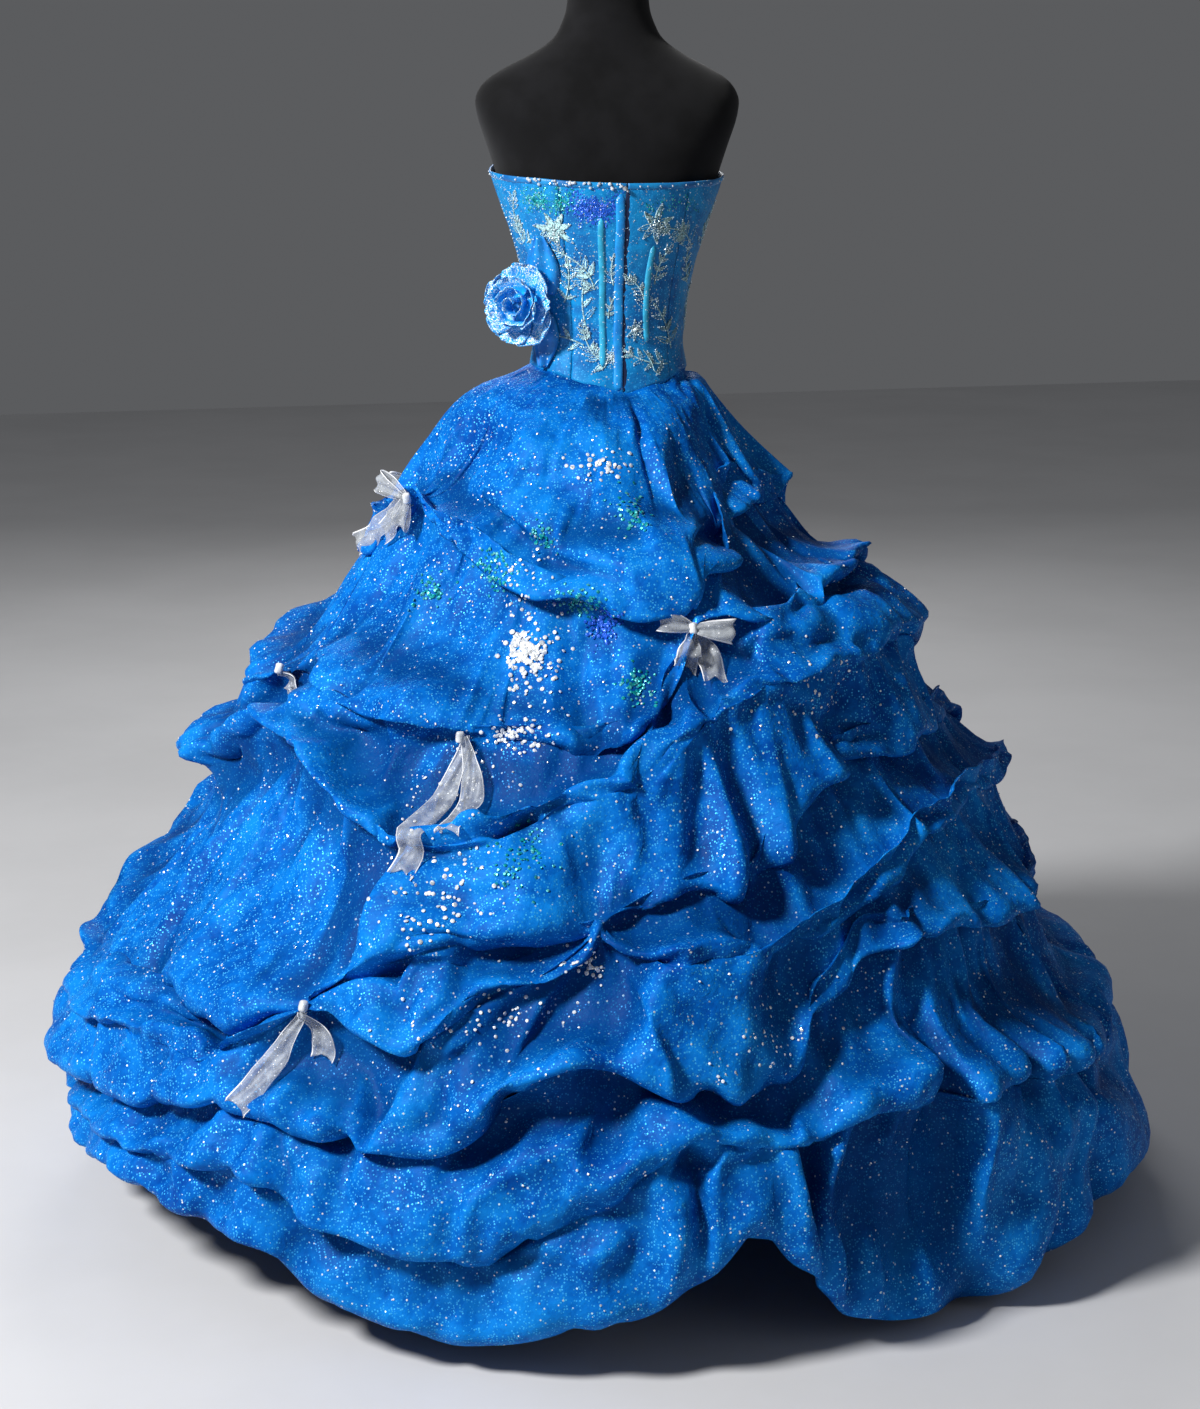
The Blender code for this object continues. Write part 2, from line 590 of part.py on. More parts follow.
def tier_profile(theta, k):
    """Five (radius, height) points down one swag: tuck above, two on the puff, low edge, tuck."""
    if k == 0:
        r0, z0 = waist_point(theta)
    else:
        edge, hang, depth = swag_edge(theta, k - 1)
        z0 = edge + hang
        r0 = spread(theta, z0) - depth
    edge, hang, depth = swag_edge(theta, k)
    z3 = edge
    soft = min(hang / 0.020, 1.0)
    out3 = 0.014 if k < 7 else 0.030
    r3 = spread(theta, z3) - depth * (1.0 - soft) - out3 * soft
    z4 = edge + hang
    r4 = spread(theta, z4) - depth
    drop = z0 - z3
    z1 = z0 - 0.30 * drop
    z2 = z0 - 0.72 * drop
    if k == 0:
        r1 = r0 + (spread(theta, z1) - r0) * 0.90
        z1 = z0 - 0.26 * drop
    else:
        r1 = 0.45 * r0 + 0.55 * (spread(theta, z1) - 0.004) + 0.004
    r2 = spread(theta, z2) + 0.004 - 0.35 * depth * (1.0 - soft)
    pts = [(r0, z0), (r1, z1), (r2, z2), (r3, z3), (r4, z4)]
    out = [pts[0]]
    for i in range(1, 5):
        r, z = pts[i]
        share = (0.0, 0.8, 1.0, 0.8, 0.3)[i]
        out.append((r + pleat_depth(theta, z) * share, z))
    return out


def skirt_column(theta):
    column = []
    for k in range(len(SWAGS)):
        pts = tier_profile(theta, k)
        column += pts[:4] if k < len(SWAGS) - 1 else pts
    return column


def build_skirt(organza):
    names = ("skirt_gore_back_left", "skirt_gore_side_left", "skirt_gore_front_left",
             "skirt_gore_front_right", "skirt_gore_side_right", "skirt_gore_back_right")
    rows = len(skirt_column(0.0))
    # one continuous grid first, so that walls of neighbouring gores share their directions
    angles = [a for a in SKIRT_COLUMNS if a < 360]
    grid = [[around(t, *skirt_column(t)[i]) for t in angles] for i in range(rows)]
    wrapped = [[row[-1]] + row + [row[0], row[1]] for row in grid]
    g, n = wall_steps(wrapped)
    g = g[:, 1:-1]
    n = n[:, 1:-1]
    grids = []
    for name, first in zip(names, GORE_SEAMS):
        last = first + 60.0
        cols = [i for i, a in enumerate(SKIRT_COLUMNS) if first <= a <= last]
        outer = []
        inner = []
        for i in range(rows):
            row_out = []
            row_in = []
            for j in cols:
                p = Vector(g[i, j % g.shape[1]]) if j < g.shape[1] else Vector(g[i, 0])
                d = Vector(n[i, j % g.shape[1]]) if j < g.shape[1] else Vector(n[i, 0])
                a = math.radians(SKIRT_COLUMNS[j])
                shift = 0.0
                if SKIRT_COLUMNS[j] == first:
                    shift = 0.5 * SEAM_GAP
                if SKIRT_COLUMNS[j] == last:
                    shift = -0.5 * SEAM_GAP
                side = Vector((math.cos(a), -math.sin(a), 0.0))
                if shift:
                    # keep the seam edges on the seam's own plane
                    d = d - side * d.dot(side)
                p = p + side * shift
                row_out.append(p)
                row_in.append(p - d * WALL_SKIRT)
            outer.append(row_out)
            inner.append(row_in)
        verts, faces = sheet_wall(outer, inner)
        add(name, verts, faces, organza)
        grids.append((outer, rows - 1, len(cols) - 1))
    return grids


# ---------------------------------------------------------------- rosette
def build_rosette(tree, satin):
    """Rose rolled from one strip, three outer petals, and a leaf fold above and below."""
    centre = Vector((0.128, 0.056, 1.210))
    out = Vector((0.70, 0.71, 0.05)).normalized()
    right = Vector((0.0, 0.0, 1.0)).cross(out).normalized()
    up = out.cross(right)

    def at(u, w, d):
        return centre + right * u + up * w + out * d

    turns = 2.4
    steps = 30
    outer = [[], [], []]
    inner = [[], [], []]
    for i in range(steps + 1):
        s = i / steps
        a = 2.0 * math.pi * turns * s + 0.6
        r = 0.0065 + 0.0265 * s
        wave = 0.0024 * math.sin(5.0 * a) * s
        for row in range(3):
            rise = (0.022 - 0.008 * s, 0.011, 0.0)[row]
            flare = (0.0070 * s + 0.001, 0.0, -0.001)[row]
            rr = r + flare + wave * (1.0 - row * 0.5)
            outer[row].append(at((rr + 0.0007) * math.cos(a), (rr + 0.0007) * math.sin(a), rise))
            inner[row].append(at((rr - 0.0007) * math.cos(a), (rr - 0.0007) * math.sin(a), rise))
    verts, faces = sheet_wall(outer, inner)
    add("rosette_rolled_strip", verts, faces, satin)
    # outer petals: name, direction in degrees, reach, half width, lift at the tip
    petals = (("rosette_petal_upper", 62.0, 0.050, 0.030, 0.006),
              ("rosette_petal_outer", 188.0, 0.049, 0.032, 0.008),
              ("rosette_petal_lower", 300.0, 0.052, 0.030, 0.005))
    for k, (name, direction, reach, half, tip) in enumerate(petals):
        petal(name, at, direction, 0.006, reach, half, tip, -0.0060 - 0.0060 * k, satin)
    leaf("rosette_leaf_up", tree, (70.0, 1.226), (67.0, 1.322), 0.036, satin)
    leaf("rosette_leaf_down", tree, (73.0, 1.196), (72.0, 1.128), 0.038, satin)


def petal(name, at, direction, start, reach, half, tip, back, mat):
    c = math.cos(math.radians(direction))
    s = math.sin(math.radians(direction))
    outer = []
    inner = []
    for i in range(5):
        f = i / 4
        along = start + (reach - start) * f
        wide = half * math.sin(math.pi * (0.16 + 0.76 * f)) ** 0.7
        row_out = []
        row_in = []
        for j in range(5):
            w = (j / 4.0 - 0.5) * 2.0
            d = back + tip * f * f + 0.004 * f * w * w
            u = along * c - w * wide * s
            v = along * s + w * wide * c
            row_out.append(at(u, v, d + 0.0008))
            row_in.append(at(u, v, d - 0.0008))
        outer.append(row_out)
        inner.append(row_in)
    verts, faces = sheet_wall(outer, inner)
    add(name, verts, faces, mat)


def leaf(name, tree, root, tip, width, mat):
    """Folded leaf of cloth lying on the bodice from its root to its tip."""
    outer = []
    inner = []
    for i in range(6):
        f = i / 5
        t = root[0] + (tip[0] - root[0]) * f
        z = root[1] + (tip[1] - root[1]) * f
        half = 0.5 * width * (0.10 + 0.90 * math.sin(math.pi * (0.30 + 0.66 * f)))
        r = Vector(surface_at(tree, t, z, 0.0)[:2]).length
        row_out = []
        row_in = []
        for j in range(5):
            w = j / 2.0 - 1.0
            fold = 0.0018 + 0.0060 * (1.0 - abs(w)) * math.sin(math.pi * (0.15 + 0.7 * f))
            tt = t + math.degrees(w * half / r)
            row_out.append(surface_at(tree, tt, z, fold + 0.0014))
            row_in.append(surface_at(tree, tt, z, fold))
        outer.append(row_out)
        inner.append(row_in)
    verts, faces = sheet_wall(outer, inner)
    add(name, verts, faces, mat)


# ---------------------------------------------------------------- bows
# name, angle, height, loops (left reach, left rise, right reach, right rise), tails as
# (along, down) pairs in metres; an empty loop means that only the tails of the ribbon show
BOWS = (
    ("bow_hip_left", 74.0, 0.972, (0.046, 0.020, 0.034, -0.032), ((0.085, -0.075), (0.030, -0.056))),
    ("bow_centre_back", -2.5, 0.838, (0.040, 0.012, 0.050, -0.004), ((0.026, -0.050), (-0.016, -0.062))),
    ("bow_swag_left", 36.0, 0.716, None, ((0.022, -0.140), (-0.026, -0.092))),
    ("bow_side_left", 82.5, 0.736, None, ((0.020, -0.036), (-0.010, -0.030))),
    ("bow_low_left", 46.0, 0.416, None, ((0.062, -0.118), (-0.022, -0.062))),
    ("bow_front_left", 134.0, 0.944, (0.044, 0.014, 0.044, 0.008), ((0.030, -0.085), (-0.026, -0.070))),
    ("bow_front_right", 212.0, 0.924, (0.044, 0.010, 0.044, 0.014), ((0.026, -0.075), (-0.030, -0.090))),
    ("bow_front_centre", 188.0, 0.729, (0.042, 0.012, 0.042, 0.008), ((0.020, -0.090), (-0.030, -0.080))),
    ("bow_side_right", 244.0, 0.732, (0.042, 0.008, 0.042, 0.014), ((0.026, -0.080), (-0.026, -0.090))),
)


def build_bows(tree, ribbon):
    for name, theta, z, loops, tails in BOWS:
        lift = clear_lift(tree, theta, z)
        bow_tails(name + "_tails", tree, theta, z, tails, lift + (0.003 if loops else 0.008), ribbon)
        if loops:
            bow_loops(name, tree, theta, z, loops, lift + 0.012, ribbon)


def clear_lift(tree, theta, z):
    """How far the surface just round a gather stands proud of the gather itself."""
    here = Vector(surface_at(tree, theta, z, 0.0)[:2]).length
    worst = 0.0
    for dt in (-3.0, -1.5, 0.0, 1.5, 3.0):
        for dz in (-0.018, -0.009, 0.0, 0.009, 0.018):
            r = Vector(surface_at(tree, theta + dt, z + dz, 0.0)[:2]).length
            worst = max(worst, r - here)
    return worst


def bow_tails(name, tree, theta, z, tails, top_lift, mat):
    """Both tails of a bow as one folded ribbon, clear of the skirt all along."""
    radius = Vector(surface_at(tree, theta, z, 0.0)[:2]).length
    steps = 4
    path = []
    for leg, ahead in ((0, 0.0), (1, 0.005)):
        run = range(steps, -1, -1) if leg == 0 else range(0, steps + 1)
        for i in run:
            f = i / steps
            spread_out = math.degrees(tails[leg][0] * f / radius)
            half = BOW_RIBBON * (0.14 + 0.30 * min(2.2 * f, 1.0))
            path.append((theta + spread_out, z + tails[leg][1] * f, half, ahead, f))
    outer = []
    inner = []
    for t, zz, half, ahead, f in path:
        row_out = []
        row_in = []
        here = Vector(surface_at(tree, t, zz, 0.0)[:2]).length
        reach = math.degrees(half / here)
        proud = max(Vector(surface_at(tree, t + dt, zz + dz, 0.0)[:2]).length
                    for dt in (-reach, 0.0, reach) for dz in (-0.008, 0.0, 0.008))
        start = radius + top_lift
        away = start * (1.0 - min(f * 1.6, 1.0)) + (proud + 0.005) * min(f * 1.6, 1.0)
        away = max(away, proud + 0.003) + ahead
        # the ribbon folds over at the knot, so the far leg shows its other face
        near, far = (away + 0.0010, away) if ahead == 0.0 else (away, away + 0.0010)
        top = 0.0012 if f == 0.0 else 0.0
        for s in (-1.0, 0.0, 1.0):
            row_out.append(around(t + s * reach, near, zz))
            row_in.append(around(t + s * reach, far, zz + top))
        outer.append(row_out)
        inner.append(row_in)
    verts, faces = sheet_wall(outer, inner)
    return add(name, verts, faces, mat)


def bow_loops(name, tree, theta, z, loops, lift, mat):
    """Two loops as one closed band, pinched in the middle."""
    centre = surface_at(tree, theta, z, lift)
    a = math.radians(theta)
    along = Vector((math.cos(a), -math.sin(a), 0.0))
    below = surface_at(tree, theta, z - 0.035, 0.0)
    up = (surface_at(tree, theta, z, 0.0) - below).normalized()
    up = (up + Vector((0.0, 0.0, 0.6))).normalized()
    out = up.cross(along).normalized()
    if out.dot(centre) < 0.0:
        out = -out
    rows = []
    for reach, rise, sign in ((loops[0], loops[1], 1.0), (loops[2], loops[3], -1.0)):
        way = (along * sign * reach + up * rise).normalized()
        cross = out.cross(way).normalized() * sign
        size = math.hypot(reach, rise)
        for f, d in ((0.0, 0.0), (0.35, -0.001), (0.75, 0.000), (1.0, 0.006), (0.75, 0.013), (0.35, 0.010)):
            half = BOW_RIBBON * (0.12 + 0.34 * math.sin(min(f * 1.5, 1.0) * math.pi / 2.0))
            rows.append((centre + way * size * f + out * (d + 0.004 * f), cross, half, f, d, way, sign))
        if sign > 0.0:
            rows.append((centre + out * 0.006, cross, half * 0.5, 0.0, 0.006, way, sign))
    # order: back middle, first loop back to front, front middle, second loop front to back
    first = rows[:7]
    second = rows[7:]
    ring = first[:7] + list(reversed(second[1:]))
    n = len(ring)
    centres = [r[0] for r in ring]
    outer = []
    inner = []
    for i, (c, cross, half, f, d, way, sign) in enumerate(ring):
        before = centres[i - 1]
        after = centres[(i + 1) % n]
        tangent = (after - before).normalized()
        width_way = (up - tangent * up.dot(tangent)).normalized()
        face = tangent.cross(width_way).normalized()
        outer.append([c + width_way * half * s + face * 0.0005 for s in (-1.0, 0.0, 1.0)])
        inner.append([c + width_way * half * s - face * 0.0005 for s in (-1.0, 0.0, 1.0)])
    verts = [p for row in outer for p in row] + [p for row in inner for p in row]
    m = 3 * n
    faces = []
    for i in range(n):
        k = (i + 1) % n
        for j in range(2):
            faces.append((3 * i + j, 3 * k + j, 3 * k + j + 1, 3 * i + j + 1))
            faces.append((m + 3 * i + j, m + 3 * i + j + 1, m + 3 * k + j + 1, m + 3 * k + j))
        faces.append((3 * i, m + 3 * i, m + 3 * k, 3 * k))
        faces.append((3 * i + 2, 3 * k + 2, m + 3 * k + 2, m + 3 * i + 2))
    add(name + "_loops", verts, faces, mat)
    ball(name + "_knot", centre + out * 0.0128, 0.0052, mat)


# ---------------------------------------------------------------- build
def main():
    for ob in list(bpy.data.objects):
        bpy.data.objects.remove(ob)
    cloth_black = paint("form_black", (0.012, 0.012, 0.014), 0.85)
    metal = paint("stand_black", (0.020, 0.020, 0.022), 0.45)
    satin = paint("satin_aqua", (0.010, 0.300, 0.720), 0.42)
    pale = paint("satin_pale", (0.120, 0.500, 0.850), 0.40)
    organza = paint("organza_blue", (0.005, 0.140, 0.620), 0.45)
    lace = paint("lace_silver", (0.420, 0.620, 0.680), 0.35, 0.3)
    crystal = paint("crystal", (0.850, 0.900, 0.950), 0.10)
    ribbon = paint("ribbon_grey", (0.620, 0.620, 0.640), 0.45)
    build_form(cloth_black, metal)
    bodice_grids = build_bodice(satin)
    bodice_tree = tree_of(bodice_grids)
    build_bodice_trims(bodice_grids, bodice_tree, satin, pale, lace, crystal)
    skirt_grids = build_skirt(organza)
    skirt_tree = tree_of(skirt_grids)
    build_rosette(bodice_tree, satin)
    build_bows(skirt_tree, ribbon)


main()
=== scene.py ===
"""Ball gown with a picked-up skirt on a limbless dress form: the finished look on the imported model.

Frame: metres, +Z up, the floor at z = 0, the front of the gown towards -Y, the centre back at +Y
and the wearer's left at +X.  Angles round the gown are in degrees from the centre back, growing
towards the wearer's left.  The long tables are in millimetres, where they say so.
"""

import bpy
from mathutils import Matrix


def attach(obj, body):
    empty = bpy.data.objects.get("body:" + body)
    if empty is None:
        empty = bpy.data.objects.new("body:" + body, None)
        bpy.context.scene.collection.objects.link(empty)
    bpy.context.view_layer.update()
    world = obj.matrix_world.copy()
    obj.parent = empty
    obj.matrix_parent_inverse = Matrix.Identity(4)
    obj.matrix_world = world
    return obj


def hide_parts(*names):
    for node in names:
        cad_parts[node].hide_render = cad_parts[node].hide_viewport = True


bl_info = {
    "name": "Picked-up Ball Gown",
    "version": (1, 0, 0),
    "blender": (4, 5, 0),
    "location": "View3D > Sidebar > Gown",
    "description": "Sews a ball gown with a picked-up skirt onto a dress form, piece by piece",
    "category": "Add Mesh",
}

import bmesh
import bpy
import math
import numpy as np
from bpy.props import FloatProperty, FloatVectorProperty, IntProperty, PointerProperty
from mathutils import Vector, noise
from mathutils.bvhtree import BVHTree

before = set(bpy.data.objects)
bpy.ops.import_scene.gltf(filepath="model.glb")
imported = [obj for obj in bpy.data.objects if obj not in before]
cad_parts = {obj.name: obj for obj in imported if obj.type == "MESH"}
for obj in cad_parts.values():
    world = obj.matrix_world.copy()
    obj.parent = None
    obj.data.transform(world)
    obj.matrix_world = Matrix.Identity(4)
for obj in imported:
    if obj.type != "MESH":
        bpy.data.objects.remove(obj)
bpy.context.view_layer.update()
BODY = "root"


def in_metres(rows, plain):
    """A table of lengths in millimetres turned to metres; the columns in plain stay as they are."""
    return tuple(tuple(cell if i in plain else cell / 1000.0 for i, cell in enumerate(row))
                 for row in rows)


# ---------------------------------------------------------------- dress form
# height, half width, depth to the back, depth to the front in millimetres, squareness
FORM = in_metres((
    (815, 90, 70, 70, 2), (825, 118, 90, 90, 2), (850, 140, 104, 104, 2),
    (920, 152, 112, 110, 2.1), (1000, 140, 106, 104, 2.1), (1060, 119, 94, 96, 2.1),
    (1110, 101, 84, 90, 2.1), (1155, 93, 80, 88, 2.1), (1210, 98, 83, 95, 2.1),
    (1260, 110, 90, 111, 2.1), (1290, 119, 96, 126, 2.1), (1320, 129, 100, 136, 2.1),
    (1350, 140, 104, 136, 2.1), (1380, 150, 106, 125, 2.1), (1410, 160, 104, 110, 2.2),
    (1445, 173, 96, 92, 2.3), (1472, 178, 85, 80, 2.3), (1494, 166, 74, 70, 2.2),
    (1512, 136, 66, 62, 2), (1528, 100, 60, 57, 2), (1548, 70, 56, 54, 2), (1580, 55, 53, 51, 2),
    (1620, 51, 50, 48, 2), (1644, 47, 46, 45, 2), (1656, 34, 34, 34, 2),
), (4,))
FORM_TOP = 1.656
EASE = 0.0044              # bodice cloth stands this far off the form
WALL_BODICE = 0.0018

# ---------------------------------------------------------------- bodice
# angle, height of the top edge, height of the bottom edge in millimetres
BODICE_EDGE = in_metres((
    (0, 1365, 1092), (30, 1367, 1104), (60, 1372, 1119), (95, 1378, 1124), (130, 1392, 1106),
    (155, 1398, 1084), (180, 1378, 1066), (205, 1398, 1084), (230, 1392, 1106), (265, 1376, 1124),
    (300, 1367, 1119), (330, 1365, 1104),
), (0,))
SEAM_GAP = 0.30            # degrees between a seam and the cloth on each side of it
PANEL_WALL = 0.0014
# name, first angle, last angle (the centre back seam is at angle 1)
BODICE_PANELS = (
    ("bodice_back_left", 1.0, 44.0),
    ("bodice_side_back_left", 44.0, 94.0),
    ("bodice_side_front_left", 94.0, 150.0),
    ("bodice_front_centre", 150.0, 210.0),
    ("bodice_side_front_right", 210.0, 266.0),
    ("bodice_side_back_right", 266.0, 317.0),
    ("bodice_back_right", 317.0, 361.0),
)

# ---------------------------------------------------------------- skirt
# height, radius towards the wearer's left, back, right and front in millimetres
SKIRT_SPREAD = in_metres((
    (1130, 108, 98, 108, 104), (1090, 178, 118, 140, 118), (1050, 262, 190, 168, 180),
    (1010, 315, 255, 235, 255), (970, 360, 315, 292, 315), (910, 385, 380, 335, 375),
    (850, 425, 425, 372, 425), (780, 470, 478, 430, 475), (700, 525, 535, 492, 530),
    (620, 570, 592, 562, 585), (540, 632, 645, 610, 640), (460, 712, 690, 645, 685),
    (380, 738, 718, 684, 712), (300, 748, 738, 712, 730), (220, 764, 748, 730, 745),
    (140, 748, 744, 740, 745), (60, 728, 722, 736, 728), (0, 700, 690, 715, 700),
), ())
# The lowest line of each swag all round the gown, from the top one down to the hem: angle, height
# of the edge, how far it hangs below its tuck, depth of the tuck.  Lengths are in millimetres.
SWAGS = tuple(in_metres(rows, (0,)) for rows in (
    ((-72, 968, 22, 50), (-54, 988, 28, 50), (-40, 990, 34, 55), (-23, 960, 34, 52),
     (-12, 900, 26, 46), (-2, 858, 4, 50), (8, 856, 20, 40), (28, 897, 22, 36), (50, 945, 18, 34),
     (73, 978, 3, 46), (92, 928, 30, 44), (112, 915, 34, 46), (134, 950, 3, 48),
     (158, 885, 32, 42), (188, 872, 30, 40), (212, 930, 3, 48), (240, 880, 34, 44),
     (262, 915, 28, 44), (276, 965, 4, 46)),
    ((-75, 850, 24, 44), (-58, 872, 26, 44), (-40, 866, 26, 42), (-20, 846, 18, 36),
     (-2, 842, 3, 50), (4, 780, 20, 50), (9, 730, 26, 52), (20, 721, 28, 50), (29, 722, 20, 46),
     (36, 725, 3, 54), (46, 722, 18, 40), (62, 736, 16, 38), (82, 742, 3, 50), (95, 690, 12, 26),
     (114, 700, 14, 30), (133, 745, 3, 50), (160, 690, 34, 50), (188, 735, 3, 50),
     (216, 690, 34, 50), (244, 738, 3, 50), (265, 800, 26, 44)),
    ((-74, 772, 10, 24), (-50, 780, 6, 14), (-28, 780, 6, 12), (-12, 775, 6, 14), (0, 740, 4, 10),
     (9, 675, 8, 18), (18, 652, 10, 24), (28, 610, 12, 28), (38, 598, 14, 30), (48, 618, 14, 30),
     (60, 665, 10, 34), (74, 690, 6, 34), (90, 585, 22, 40), (108, 575, 24, 42),
     (132, 600, 6, 30), (158, 580, 16, 34), (188, 610, 6, 30), (216, 580, 18, 34),
     (244, 620, 6, 30), (264, 690, 18, 34)),
    ((-72, 675, 28, 48), (-50, 692, 28, 48), (-28, 694, 28, 48), (-15, 672, 34, 60),
     (-9, 615, 34, 64), (-4, 570, 28, 56), (4, 568, 24, 46), (14, 536, 4, 60), (24, 524, 22, 44),
     (32, 500, 10, 30), (46, 428, 4, 48), (54, 372, 24, 50), (66, 384, 28, 50), (82, 360, 30, 48),
     (100, 318, 32, 48), (124, 400, 10, 46), (140, 470, 3, 50), (162, 400, 34, 50),
     (186, 480, 3, 54), (212, 410, 34, 50), (238, 500, 3, 50), (262, 570, 26, 48)),
    ((-74, 590, 20, 36), (-48, 612, 24, 40), (-32, 594, 26, 44), (-20, 545, 26, 50),
     (-11, 520, 20, 44), (0, 498, 6, 14), (8, 490, 6, 16), (15, 520, 4, 46), (24, 455, 12, 34),
     (34, 392, 18, 40), (46, 412, 3, 46), (58, 328, 5, 14), (76, 315, 5, 10), (96, 276, 5, 12),
     (126, 320, 10, 34), (158, 310, 18, 36), (188, 380, 6, 34), (214, 320, 18, 36),
     (240, 420, 6, 34), (264, 500, 18, 36)),
    ((-74, 468, 30, 52), (-50, 460, 30, 50), (-32, 480, 30, 50), (-17, 500, 30, 60),
     (-10, 440, 30, 60), (-5, 358, 30, 60), (4, 334, 34, 56), (14, 372, 30, 50),
     (22, 346, 24, 46), (30, 274, 24, 46), (42, 262, 20, 44), (54, 284, 24, 44),
     (70, 236, 28, 44), (92, 196, 30, 44), (116, 250, 14, 46), (134, 300, 4, 52),
     (160, 230, 34, 50), (186, 310, 4, 52), (212, 240, 34, 50), (238, 330, 6, 50),
     (262, 420, 28, 50)),
    ((-74, 250, 16, 30), (-48, 250, 10, 22), (-28, 290, 10, 26), (-12, 300, 14, 40),
     (-3, 280, 10, 34), (6, 300, 8, 26), (15, 215, 14, 32), (26, 135, 16, 34), (38, 158, 16, 34),
     (50, 215, 10, 24), (68, 180, 5, 12), (92, 140, 5, 12), (118, 160, 12, 26),
     (150, 150, 14, 28), (186, 190, 8, 24), (220, 150, 14, 28), (250, 220, 10, 24),
     (268, 240, 14, 28)),
    ((-74, 30, 30, 60), (-36, 24, 30, 60), (-22, 22, 30, 60), (-12, 46, 30, 60),
     (-6, 118, 30, 62), (1, 182, 30, 66), (7, 122, 30, 62), (15, 74, 30, 60), (28, 46, 30, 60),
     (40, 58, 30, 60), (47, 120, 30, 64), (58, 130, 30, 60), (70, 132, 30, 60), (88, 84, 30, 60),
     (110, 44, 30, 60), (140, 60, 30, 60), (165, 30, 30, 60), (186, 64, 30, 60),
     (212, 30, 30, 60), (238, 58, 30, 60), (262, 30, 30, 60)),
))
GORES = ("skirt_gore_back_left", "skirt_gore_side_left", "skirt_gore_front_left",
         "skirt_gore_front_right", "skirt_gore_side_right", "skirt_gore_back_right")

# Pleats that fan out below a gather:
# angle and height of the gather, angle and height of the middle of the foot, half spread in
# degrees at the foot, number of pleats, depth; lengths in millimetres
PLEATS = in_metres((
    (-2, 845, -1, 580, 15, 3.5, 22), (15, 530, 8, 340, 16, 4, 19), (36, 720, 38, 560, 14, 3, 7),
    (-40, 500, -30, 40, 24, 5, 18), (45, 420, 50, 150, 18, 4.5, 11),
    (82, 740, 88, 400, 16, 4, 12), (134, 945, 136, 600, 18, 4, 10),
    (188, 735, 187, 450, 16, 4, 11), (212, 930, 214, 650, 16, 4, 10),
    (244, 735, 243, 400, 16, 4, 11),
), (0, 2, 4, 5))

